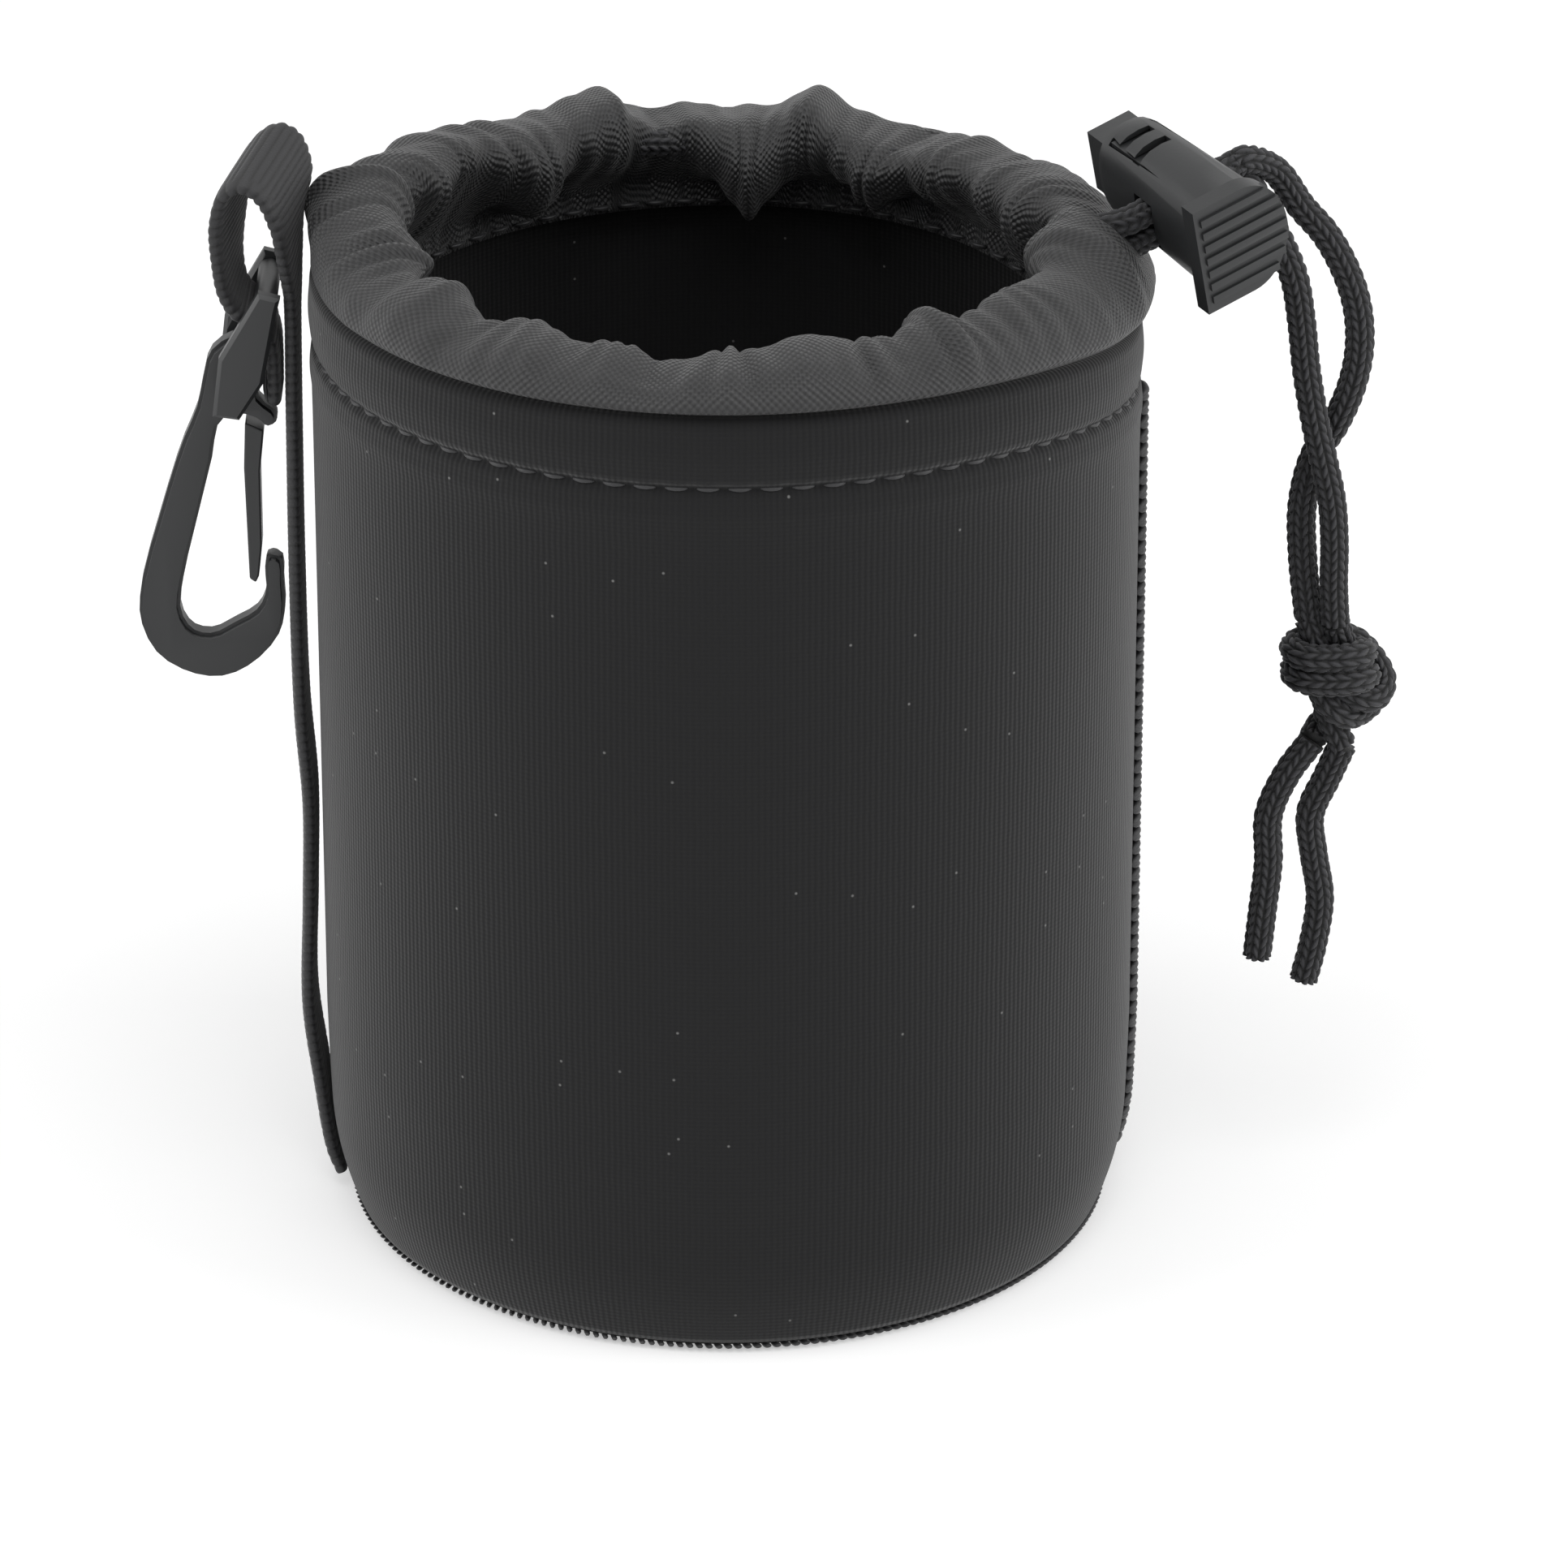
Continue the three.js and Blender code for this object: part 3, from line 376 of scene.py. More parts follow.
def tightened(cords, ends, radius, shrink):
    """Repeats: each end of a link moves SHORTEN of what the link is too long, each point moves SMOOTH
    of the way to its neighbours' middle, and each of two points nearer than two radii moves PART of
    what they lack. The links' wanted lengths fall to shrink times their first ones."""
    count = cords.shape[1]
    rest = np.linalg.norm(np.diff(cords, axis=1), axis=2)
    free_links = math.ceil(2.9 * radius / (rest.mean() * shrink))
    number = np.arange(2 * count)
    other_cord = (number[:, None] // count) != (number[None] // count)
    apart = np.abs(number[:, None] - number[None]) > free_links
    first, second = np.nonzero(np.triu(other_cord | apart, 1))
    start = cords[:, [0, -1]].copy()
    for step in range(STEPS):
        wanted = (rest * (1 - (1 - shrink) * min(1, step / (0.75 * STEPS))))[..., None]
        held = start + (ends - start) * min(1, step / (0.5 * STEPS))
        for _ in range(PASSES):
            link = np.diff(cords, axis=1)
            fix = SHORTEN * (1 - wanted / np.linalg.norm(link, axis=2, keepdims=True)) * link
            cords[:, :-1] += fix
            cords[:, 1:] -= fix
            sag = 0.5 * (cords[:, :-2] + cords[:, 2:]) - cords[:, 1:-1]
            cords[:, 1:-1] += SMOOTH * sag
            cords[:, :-2] -= SMOOTH / 2 * sag
            cords[:, 2:] -= SMOOTH / 2 * sag
            flat = cords.reshape(-1, 3)
            between = flat[second] - flat[first]
            distance = np.linalg.norm(between, axis=1)
            hit = distance < 2 * radius
            push = (PART * (2 * radius / np.maximum(distance[hit], 1e-6) - 1))[:, None] * between[hit]
            for axis in range(3):
                flat[:, axis] += np.bincount(second[hit], push[:, axis], 2 * count)
                flat[:, axis] -= np.bincount(first[hit], push[:, axis], 2 * count)
            cords[:, [0, -1]] = held
    return cords


knot_ends = np.array([
    [outer_path[-1], left_path[0]],
    [inner_path[-1], right_path[0]],
]) / MM - knot_place
# In a tight knot the yarn is pressed together, so the cords may come closer than their thickness.
PRESSED_RADIUS, KNOT_SHRINK = 1.58, 0.36
tight = tightened(cords, knot_ends, PRESSED_RADIUS, KNOT_SHRINK)
for number in range(2):
    path = smooth_line((tight[number] + knot_place) * MM, KNIT_STEP)
    knitted_tube(f"knot_cord_{number + 1}", path, (1.0, -0.4, 0.2), "pouch", ["drawcord_knot"])
    print("cord in the knot, mm", round(line_length(path) / MM, 1))

# %% [markdown]
# ## Rim, sag and channel
# The rim of the pouch isn't level: it sags at the lock's side, and the cord's channel rises and
# falls over it. These few functions of the angle round the pouch are shared by wall, collar and
# stitches, so that they stay together.

# %% Shapes shared round the rim, in millimetres
BODY_R, WALL, EDGE, HEM_DEPTH = 53.5, 3.0, 133.5, 9.5
SAG_AT_LOCK, SAG_AT_BACK = 6, 2.5
CHANNEL_R, CHANNEL_IN_AT_BACK = 46.4, 2.6
STITCH_LEVEL = EDGE - HEM_DEPTH
FOOT = 1.55
FOOT_HEIGHTS = FOOT + BODY_R * np.array([0, 0.038, 0.12, 0.195, 0.27, 0.48])
FOOT_RADII = BODY_R - WALL * np.array([1.03, 0.77, 0.37, 0.17, 0.1, 0])


def nearness(azimuth, centre, spread):
    """1 at the centre angle and falling off on both sides as exp(-(away / spread)^2), in degrees."""
    away = (np.degrees(azimuth) - centre + 180) % 360 - 180
    return np.exp(-((away / spread) ** 2))


def back_share(azimuth):
    """0 at the front and 1 at the back."""
    return (1 + np.sin(azimuth)) / 2


def rim_height(azimuth):
    return EDGE - SAG_AT_LOCK * nearness(azimuth, 0, 35.5) - SAG_AT_BACK * back_share(azimuth)


def sagged(level, azimuth):
    """A level of the straight tube, lowered in proportion as the rim sags there."""
    return level * rim_height(azimuth) / EDGE


def channel_radius(azimuth):
    return CHANNEL_R - CHANNEL_IN_AT_BACK * back_share(azimuth)


def channel_height(azimuth):
    """A level, a tilt to one side, a tilt to the back, and two waves that go round twice."""
    return (
        EDGE + 1.175 - 0.94 * np.cos(azimuth) - 2.75 * np.sin(azimuth)
        + 1.175 * np.cos(2 * azimuth) - 0.875 * np.sin(2 * azimuth)
    )


def around(radius, azimuth, z):
    """Points in metres from a radius, an angle and a height."""
    radius, azimuth, z = np.broadcast_arrays(radius, azimuth, z)
    return np.stack([radius * np.cos(azimuth), radius * np.sin(azimuth), z], -1) * MM


# %% [markdown]
# ## Neoprene
# Neoprene is a foam rubber sheet with knitted cloth laminated on both faces. The face here is a
# black nylon jersey: matt, slightly velvety at grazing angles, with upright ribs 0.8 mm apart and
# specks of lint. The ribs follow the piece's own map, whose units are metres along the cloth. An
# image could show them too, but waves worked out from that map stay sharp from any distance.

# %% Neoprene face
RIB, JERSEY_COURSE = 0.8 * MM, 0.6 * MM
neoprene = new_material("jersey_faced_neoprene")
flat = add(neoprene, "UVMap", uv_map="Cloth").outputs["UV"]
split = add(neoprene, "SeparateXYZ", {"Vector": flat})
rib_turn = add(neoprene, "Math", {0: split.outputs["X"], 1: 2 * math.pi / RIB}, operation="MULTIPLY")
wander = add(neoprene, "TexNoise", {"Vector": flat, "Scale": 260.0, "Detail": 2.0})
wandered = add(
    neoprene, "Math", {0: wander.outputs["Fac"], 1: 2.2, 2: rib_turn.outputs[0]}, operation="MULTIPLY_ADD"
)
rib = add(neoprene, "Math", {0: wandered.outputs[0]}, operation="COSINE")
stitch_turn = add(
    neoprene, "Math", {0: split.outputs["Y"], 1: 2 * math.pi / JERSEY_COURSE}, operation="MULTIPLY"
)
course = add(neoprene, "Math", {0: stitch_turn.outputs[0]}, operation="COSINE")
knit = add(neoprene, "Math", {0: course.outputs[0], 1: 0.25, 2: rib.outputs[0]}, operation="MULTIPLY_ADD")
grain = add(neoprene, "TexNoise", {"Vector": flat, "Scale": 2600.0, "Detail": 3.0, "Roughness": 0.7})
level = add(neoprene, "Math", {0: grain.outputs["Fac"], 1: 1.6, 2: knit.outputs[0]}, operation="MULTIPLY_ADD")
knit_bump = add(neoprene, "Bump", {"Height": level.outputs[0], "Strength": 0.3, "Distance": 0.0001})
# The colour follows the same relief as the bump: painted shade in the grooves between ribs and a painted
# highlight on their tops, mixed with a random grain tone.
knit_shade_and_grain = add(neoprene, "MapRange", {"Value": level.outputs[0], "From Min": -1.2, "From Max": 2.6})
clouds = add(neoprene, "TexNoise", {"Vector": flat, "Scale": 38.0, "Detail": 3.0, "Roughness": 0.6})
cloth_shade_and_grain = add(
    neoprene, "Mix", {"Factor": knit_shade_and_grain.outputs[0], "A": linear("#121213"), "B": linear("#202021")},
    data_type="RGBA",
)
cloudy = add(
    neoprene, "Mix",
    {"Factor": clouds.outputs["Fac"], "A": cloth_shade_and_grain.outputs["Result"], "B": linear("#19191a")},
    data_type="RGBA",
)
specks = add(
    neoprene, "TexVoronoi", {"Vector": flat, "Scale": 130.0, "Randomness": 1.0}, voronoi_dimensions="2D"
)
speck_dot = add(
    neoprene, "MapRange",
    {"Value": specks.outputs["Distance"], "From Min": 0.03, "From Max": 0.014, "To Min": 0.0, "To Max": 1.0},
)
speck_pick = add(neoprene, "SeparateColor", {"Color": specks.outputs["Color"]})
speck_few = add(neoprene, "Math", {0: speck_pick.outputs[0], 1: 0.78}, operation="GREATER_THAN")
speck = add(neoprene, "Math", {0: speck_dot.outputs[0], 1: speck_few.outputs[0]}, operation="MULTIPLY")
face_colour = add(
    neoprene, "Mix", {"Factor": speck.outputs[0], "A": cloudy.outputs["Result"], "B": linear("#757574")},
    data_type="RGBA",
)
face = add(
    neoprene, "BsdfPrincipled",
    {
        "Base Color": face_colour.outputs["Result"], "Roughness": 0.88, "Specular IOR Level": 0.25,
        "Sheen Weight": 0.3, "Sheen Roughness": 0.45, "Normal": knit_bump.outputs["Normal"],
    },
)
add(neoprene, "OutputMaterial", {"Surface": face.outputs[0]})

# %% [markdown]
# ## Wall with its hem
# The wall is one profile of radius against height carried round the pouch: out of the base seam,
# up, a dent where the hem's stitches pull it in, over the rounded fold and down the hem inside.
# Along the stitch line the dent deepens and eases once per stitch, as sewn foam puckers. A slow
# bend of a fifth of a millimetre keeps the tube from looking turned, and leaves the seams alone.
# A Screw modifier could carry the profile round, but only a grid of points can pucker and sag.

# %% Wall
TURNS = 720
STITCH_PITCH = 4
HEM_FACE, FOLD, LINING = 47.9, 1.5, 50.5
azimuth = np.arange(TURNS) / TURNS * 2 * math.pi
STITCHES = int(round(2 * math.pi * BODY_R / STITCH_PITCH))


def smooth_foot(level):
    """The foot's radii joined by a smooth line through their points."""
    line = smooth_line(np.stack([FOOT_RADII, FOOT_HEIGHTS], 1), 0.05)
    return np.where(level > FOOT_HEIGHTS[-1], BODY_R, np.interp(level, line[:, 1], line[:, 0]))


out_levels = np.concatenate([
    np.linspace(FOOT, 30, 34), np.linspace(33, 118, 22), np.linspace(120, 128, 34),
    np.linspace(128.6, 132, 6),
])
fold = np.linspace(0, math.pi / 2, 8)
profile = [(smooth_foot(z), z) for z in out_levels]
profile += [(BODY_R - FOLD + FOLD * math.cos(a), EDGE - FOLD + FOLD * math.sin(a)) for a in fold[1:]]
profile += [(HEM_FACE + FOLD - FOLD * math.sin(a), EDGE - FOLD + FOLD * math.cos(a)) for a in fold]
profile += [(HEM_FACE, 128.0), (HEM_FACE, 124.6), (48.2, 123.9), (50.1, 122.6), (LINING, 122.0)]
profile += [(LINING, z) for z in np.linspace(116, 18, 12)]
profile += [(50.3, 16.0), (49.6, 8.0), (48.9, 2.2), (49.0, FOOT)]
profile = np.array(profile)
outside = np.arange(len(profile)) < len(out_levels) + 7
pucker = 0.5 + 0.5 * np.cos(azimuth * STITCHES)[None]
level = profile[:, 1:2]
dent = 0.8 * np.exp(-(((level - STITCH_LEVEL) / 0.75) ** 2)) * (0.7 + 0.3 * pucker)
swell = 0.3 * np.exp(-(((level - 128.4) / 2.6) ** 2)) + 0.25 * np.exp(-(((level - 120.4) / 1.7) ** 2))
bend = 0.22 * np.sin(3 * azimuth + 0.8)[None] * np.sin(level / 30)
bend = bend + 0.15 * np.sin(5 * azimuth + 2)[None] * np.sin(level / 17)
clear_of_seams = (1 - nearness(azimuth, 0, 14) - nearness(azimuth, 180, 18))[None]
bend = bend * np.exp(-(((level - 65) / 50) ** 4)) * clear_of_seams
wall_radius = profile[:, :1] + outside[:, None] * (swell - dent + bend)
wall_points = around(wall_radius, azimuth[None], sagged(level, azimuth[None]))
wall_run = np.concatenate([[0], np.cumsum(np.linalg.norm(np.diff(profile, axis=0), axis=1))]) * MM
wall_run = np.append(wall_run, wall_run[-1] + 0.001)
round_the_wall = np.arange(TURNS + 1) / TURNS * 2 * math.pi * BODY_R * MM
wall_uv = np.stack(np.meshgrid(wall_run, round_the_wall, indexing="ij"), -1)[..., ::-1]
wall = piece(
    "wall", wall_points, [grid(len(profile), TURNS, loop_rows=True, loop_columns=True)], neoprene, "pouch",
    ["side_panel"], uv=wall_uv,
)

# %% [markdown]
# ## Base
# The base is a round pad of the same neoprene. It too is a profile carried round, with a small
# flat cap at each pole. Its edge reaches under the wall's lower edge, so that no light gets in.

# %% Base panel
BASE_TURNS = 180
ring_r = np.array([0.4, 12, 24, 36, 44, 47, 48.6, 49.6, 49.6, 48.8, 47, 44, 36, 24, 12, 0.4])
ring_z = np.array([0.3, 0.3, 0.2, 0.05, 0.0, 0.1, 0.35, 0.9, 2.1, 2.65, 2.95, 3.0, 3.0, 2.9, 2.8, 2.8])
base_turn = np.arange(BASE_TURNS) / BASE_TURNS * 2 * math.pi
base_points = around(ring_r[:, None], base_turn[None], ring_z[:, None])
base_uv = np.append(base_points, base_points[:, :1], 1)[..., :2]
base_faces = [grid(len(ring_r), BASE_TURNS, loop_columns=True), *end_caps(len(ring_r), BASE_TURNS)]
base = piece(
    "base_panel", base_points, base_faces, neoprene, "pouch", ["bottom_panel"], uv=base_uv
)

# %% [markdown]
# ## Sewing thread
# Spun polyester thread, a little lighter and shinier than the cloth. A stitch is a short grain of
# two plies that dives into the cloth at both ends. Each could be a curve with a bevel. A whole row
# as one mesh of short tubes looks the same and is far lighter.

# %% Thread
thread = new_material("spun_polyester_thread")
thread_place = add(thread, "TexCoord").outputs["Object"]
plies = add(thread, "TexNoise", {"Vector": thread_place, "Scale": 3500.0, "Detail": 2.0})
thread_tone = add(
    thread, "Mix", {"Factor": plies.outputs["Fac"], "A": linear("#161618"), "B": linear("#2e2e30")},
    data_type="RGBA",
)
thread_bump = add(thread, "Bump", {"Height": plies.outputs["Fac"], "Strength": 0.4, "Distance": 0.0001})
thread_shader = add(
    thread, "BsdfPrincipled",
    {
        "Base Color": thread_tone.outputs["Result"], "Roughness": 0.5, "Sheen Weight": 0.2,
        "Normal": thread_bump.outputs["Normal"],
    },
)
add(thread, "OutputMaterial", {"Surface": thread_shader.outputs[0]})


# %% Rows of stitches
def stitch_row(name, middles, ways, outs, long, thick, stands_for, rings=9, sides=8):
    """Many short grains at once: along a grain's way the middle rises by a half sine and the
    thickness follows its root, so both ends sink into the cloth."""
    s = np.linspace(0, 1, rings)
    angle = np.arange(sides) / sides * 2 * math.pi
    ways, outs = unit(ways), unit(outs)
    beside = np.cross(ways, outs)
    rise = np.sin(math.pi * s)
    line = (
        middles[:, None]
        + (s - 0.5)[None, :, None] * long * ways[:, None]
        + (rise * 0.9 - 0.9)[None, :, None] * thick / 2 * outs[:, None]
    )
    size = thick / 2 * (0.35 + 0.65 * np.sqrt(np.clip(rise, 0, 1)))
    round_it = (
        np.cos(angle)[None, None, :, None] * beside[:, None, None]
        + np.sin(angle)[None, None, :, None] * outs[:, None, None]
    )
    points = line[:, :, None] + size[None, :, None, None] * round_it
    quads, i, j = grid(rings, sides, loop_columns=True)
    count = len(middles)
    shift = (np.arange(count) * rings * sides)[:, None, None]
    all_quads = (quads[None] + shift).reshape(-1, 4)
    faces = [(all_quads, np.tile(i, (count, 1)), np.tile(j, (count, 1)))]
    for corners, i, j in end_caps(rings, sides):
        corners = (corners[None] + shift).reshape(-1, sides)
        faces.append((corners, np.tile(i, (count, 1)), np.tile(j, (count, 1))))
    return piece(name, points, faces, thread, "pouch", stands_for)


def ring_ways(count):
    """Angles evenly round the pouch, with the directions outwards and along the ring at each."""
    turn = (np.arange(count) + 0.5) / count * 2 * math.pi
    out = np.stack([np.cos(turn), np.sin(turn), 0 * turn], 1)
    way = np.stack([-np.sin(turn), np.cos(turn), 0 * turn], 1)
    return turn, out, way


# %% The hem's stitches and the collar's
hem_turn, hem_out, hem_way = ring_ways(STITCHES)
hem_radius = BODY_R - 0.5
NUDGE = 0.01
hem_climb = sagged(STITCH_LEVEL, hem_turn + NUDGE) - sagged(STITCH_LEVEL, hem_turn - NUDGE)
hem_way[:, 2] += hem_climb / (2 * NUDGE * hem_radius)
stitch_row(
    "hem_stitches", around(hem_radius, hem_turn, sagged(STITCH_LEVEL, hem_turn)), hem_way, hem_out,
    2.8 * MM, 0.62 * MM, ["hem_stitching"],
)
INNER_SEAM_R, INNER_STITCHES = 46.4, 76
inner_turn, inner_out, inner_way = ring_ways(INNER_STITCHES)
stitch_row(
    "collar_stitches", around(INNER_SEAM_R, inner_turn, sagged(STITCH_LEVEL, inner_turn)), inner_way,
    -inner_out, 2.9 * MM, 0.7 * MM, ["collar_stitching"],
)

# %% [markdown]
# ## Overlocked seams
# The base seam and the seam up the lock's side are overlocked: slanting loops of thread wrap the
# raw edges, close together. Up the side they lean one way and the other in turn.

# %% Base seam
OVERLOCK_R, OVERLOCK_HEIGHT, OVERLOCK_LOOPS = 49.55, 0.72, 250
foot_turn, foot_out, foot_way = ring_ways(OVERLOCK_LOOPS)
down_out = unit(foot_out * 0.25 + [0, 0, -1.0])
stitch_row(
    "base_overlock",
    around(OVERLOCK_R, foot_turn, OVERLOCK_HEIGHT + 0 * foot_turn),
    foot_out + 0.55 * foot_way, down_out, 2.6 * MM, 0.8 * MM, ["bottom_seam"], rings=7, sides=6,
)

# %% Side seam
SEAM_FROM, SEAM_TO, SEAM_PITCH, SEAM_LEAN, SEAM_STANDS = 5.5, 121.4, 1.05, 0.35, 0.55
seam_levels = np.arange(SEAM_FROM, SEAM_TO, SEAM_PITCH)
at_lock = 0 * seam_levels
seam_middles = around(smooth_foot(seam_levels) + SEAM_STANDS, at_lock, sagged(seam_levels, at_lock))
lean = np.where(np.arange(len(seam_levels)) % 2 == 0, SEAM_LEAN, -SEAM_LEAN)
seam_ways = np.stack([0 * lean, np.ones_like(lean), lean], 1)
seam_outs = np.tile([1.0, 0, 0], (len(lean), 1))
stitch_row("side_overlock", seam_middles, seam_ways, seam_outs, 3.2 * MM, 1.25 * MM, ["side_seam"])

# %% [markdown]
# ## Oxford cloth
# The collar is nylon oxford: a plain weave of thick bright yarns, which shows as small diamonds.
# Its yarns are drawn dark grey rather than black, as painted sheen for their smooth shine, with painted shade
# between them. The real yarns lie about 0.65 mm apart. They are drawn at 1 mm, because a finer weave wouldn't
# show in the render.

# %% Oxford
WARP, WEFT = 1.0 * MM, 0.95 * MM
oxford = new_material("nylon_oxford_cloth")
weave_map = add(oxford, "UVMap", uv_map="Cloth").outputs["UV"]
weave_split = add(oxford, "SeparateXYZ", {"Vector": weave_map})
warp = add(oxford, "Math", {0: weave_split.outputs["X"], 1: 2 * math.pi / WARP}, operation="MULTIPLY")
weft = add(oxford, "Math", {0: weave_split.outputs["Y"], 1: 2 * math.pi / WEFT}, operation="MULTIPLY")
warp_wave = add(oxford, "Math", {0: warp.outputs[0]}, operation="COSINE")
weft_wave = add(oxford, "Math", {0: weft.outputs[0]}, operation="COSINE")
weave = add(oxford, "Math", {0: warp_wave.outputs[0], 1: weft_wave.outputs[0]}, operation="MULTIPLY")
weave_bump = add(oxford, "Bump", {"Height": weave.outputs[0], "Strength": 0.7, "Distance": 0.00018})
# The colour follows the weave's relief: a painted sheen where it is high, and painted shade, near black,
# where it is low.
weave_shade_and_sheen = add(oxford, "MapRange", {"Value": weave.outputs[0], "From Min": -0.8, "From Max": 0.9})
slubs = add(oxford, "TexNoise", {"Vector": weave_map, "Scale": 150.0, "Detail": 3.0})
slub_share = add(oxford, "Math", {0: slubs.outputs["Fac"], 1: 0.5}, operation="MULTIPLY")
yarn_shade_and_sheen = add(
    oxford, "Mix", {"Factor": weave_shade_and_sheen.outputs[0], "A": linear("#070708"), "B": linear("#3a3a3b")},
    data_type="RGBA",
)
uneven = add(
    oxford, "Mix",
    {"Factor": slub_share.outputs[0], "A": yarn_shade_and_sheen.outputs["Result"], "B": linear("#1d1d1e")},
    data_type="RGBA",
)
oxford_shader = add(
    oxford, "BsdfPrincipled",
    {
        "Base Color": uneven.outputs["Result"], "Roughness": 0.52, "Sheen Weight": 0.15,
        "Sheen Roughness": 0.4, "Specular IOR Level": 0.5, "Normal": weave_bump.outputs["Normal"],
    },
)
add(oxford, "OutputMaterial", {"Surface": oxford_shader.outputs[0]})

# %% [markdown]
# ## Gathered collar
# The collar is one strip of cloth, sewn flat on the neoprene's edge, carried up over the drawcord
# and sewn again inside. The drawn cord shortens its middle, so the cloth bunches in folds there.
# Each fold is a bell curve round its own angle that pushes the cloth in, up or down, and finer
# creases fan out from the same places towards the flat seam. A cloth simulation could gather it
# too, but then the folds would fall anywhere, and here each has its place.

# %% Folds of the collar
# Each row: angle and half width in degrees, then how far the cloth goes in, up and down, as shares.
FOLD_SIZE = 1.12 * 6.5
gathers = np.array([
    [-170, 7, 0.1, 0.3, 0], [-161, 6, 0.5, 0.12, 0.1], [-143, 5, 0.15, 0.2, 0], [-126, 6, 0.42, 0.05, 0.1],
    [-107, 5, 0.14, 0.16, 0], [-89, 5, 0.58, 0.06, 0.1], [-67, 5, 0.3, 0.12, 0], [-55, 3.5, 0.55, 0.2, 0],
    [-38, 5, 0.05, 0.14, 0], [-16, 6, 0.2, 0.1, 0], [-5, 8, 0.25, 0.6, 0], [21, 6, 0.35, 0.02, 0.55],
    [36, 5, 0.3, 0.1, 0.3], [49, 5, 0.1, 0.02, 0.05], [62, 5, 0.45, 0.02, 0.5], [76, 4, 0.1, 0.5, 0],
    [86, 5, 0.6, 0.1, 0.7], [97, 4, 0, 0.15, 0], [109, 5, 0.15, 0.38, 0.1], [129, 8, 0.55, 0, 0.65],
    [146, 5, 0.1, 0.2, 0], [157, 5, 0.35, 0.15, 0.3], [176, 7, 0.1, 0.35, 0],
])
FOLD_TURNS = 800
turn = np.arange(FOLD_TURNS) / FOLD_TURNS * 2 * math.pi
near = np.stack([nearness(turn, g[0], g[1]) for g in gathers])
inward, up, down_in = (FOLD_SIZE * (near * gathers[:, k, None]).sum(0) for k in (2, 3, 4))


def mix(a, b, share):
    return a + (b - a) * share


rim = rim_height(turn)
cord_r, cord_z = channel_radius(turn), channel_height(turn)
# The cloth starts half a millimetre inside the tube's face and lies 2.45 mm from the cord's middle.
half, reach = 0.5, 2.45
beside_lock, beside_strap, pressed = nearness(turn, 0, 40), nearness(turn, 180, 14), nearness(turn, 9, 11)
top = cord_z + reach + up
rise = top - rim
# Nine points for each angle: from the outer seam, up and over the cord, and down to the inner seam.
section = np.array([
    [BODY_R - half + 0 * turn, rim + 0.8],
    [BODY_R - half + 0.9 * (1 - beside_strap) + 1.2 * beside_lock, rim + 0.3 * rise],
    [mix(BODY_R, cord_r, 0.12 + 0.16 * pressed), rim + (0.72 - 0.1 * pressed) * rise],
    [mix(BODY_R, cord_r, 0.6 + 0.1 * pressed), rim + (0.97 - 0.09 * pressed) * rise],
    [cord_r - 0.35 * reach - 0.35 * inward, top],
    [cord_r - reach - inward, cord_z + 0.25 * reach + 0.3 * up - 0.35 * down_in],
    [cord_r - 0.55 * reach - 0.55 * inward, cord_z - 0.95 * reach - down_in],
    [47.1 + 0 * turn, sagged(STITCH_LEVEL + 3.17, turn)],
    [47.1 + 0 * turn, sagged(STITCH_LEVEL - 1.0, turn)],
])


def spline_rows(control, count):
    """A smooth row of points through each column's control points: uniform Catmull-Rom."""
    c = np.concatenate([2 * control[:1] - control[1:2], control, 2 * control[-1:] - control[-2:-1]])
    at = np.linspace(0, len(control) - 1 - 1e-9, count)
    k, t = at.astype(int), (at % 1)[:, None, None]
    p0, p1, p2, p3 = c[k], c[k + 1], c[k + 2], c[k + 3]
    square, cube = 2 * p0 - 5 * p1 + 4 * p2 - p3, 3 * p1 - p0 - 3 * p2 + p3
    return 0.5 * (2 * p1 + (p2 - p0) * t + square * t**2 + cube * t**3)


ROWS = 58
cloth = spline_rows(section.transpose(0, 2, 1), ROWS)
share = np.linspace(0, 1, ROWS)[:, None]

# %% Creases that fan out of the gathers
# The cloth is highest at this share of its width, and the creases are narrowest there.
LIP = 0.6
away_from_lip = np.abs(share - LIP) / LIP
strength = np.clip((share - 0.06) / 0.25, 0, 1) ** 1.3 * np.clip((0.98 - share) / 0.25, 0, 1)
creases = np.zeros((ROWS, FOLD_TURNS))
random = np.random.default_rng(7)
for centre, spread, push in gathers[:, :3]:
    apart = (np.degrees(turn) - centre + 180) % 360 - 180
    wide = spread * (0.3 + 1.1 * away_from_lip)
    across = apart[None] / wide
    waves = np.cos(math.pi * (1.25 + 0.5 * random.random()) * across + random.uniform(-0.5, 0.5))
    creases += (0.35 + push) * 0.75 * waves * np.exp(-0.45 * across**2)
for _ in range(26):
    order = random.integers(24, 95)
    phase, slant = random.uniform(0, 2 * math.pi), random.uniform(-5, 5)
    creases += 0.075 * np.sin(order * turn[None] + phase + slant * share)
cloth_line = np.gradient(cloth, axis=0)
cloth_line = cloth_line / np.maximum(np.linalg.norm(cloth_line, axis=-1, keepdims=True), 1e-9)
outward = np.stack([cloth_line[..., 1], -cloth_line[..., 0]], -1)
for order, size in ((7, 0.9), (11, 0.9), (17, 0.75), (23, 0.5)):
    phase, slant = random.uniform(0, 2 * math.pi), random.uniform(-3, 3)
    creases += size * np.sin(order * turn[None] + phase + slant * share)
cloth = cloth + outward * (creases * strength)[..., None] * 0.66
collar_points = around(cloth[..., 0], turn[None], cloth[..., 1])
row_steps = np.linalg.norm(np.diff(cloth, axis=0), axis=-1)
collar_run = np.concatenate([np.zeros((1, FOLD_TURNS)), np.cumsum(row_steps, 0)])
weave_run = np.append(collar_run, collar_run[:, :1], 1)
weave_round = np.arange(FOLD_TURNS + 1) / FOLD_TURNS * 2 * math.pi * BODY_R
collar_uv = np.stack(np.broadcast_arrays(weave_round[None], weave_run), -1) * MM
CLOTH_THICKNESS = 0.45 * MM
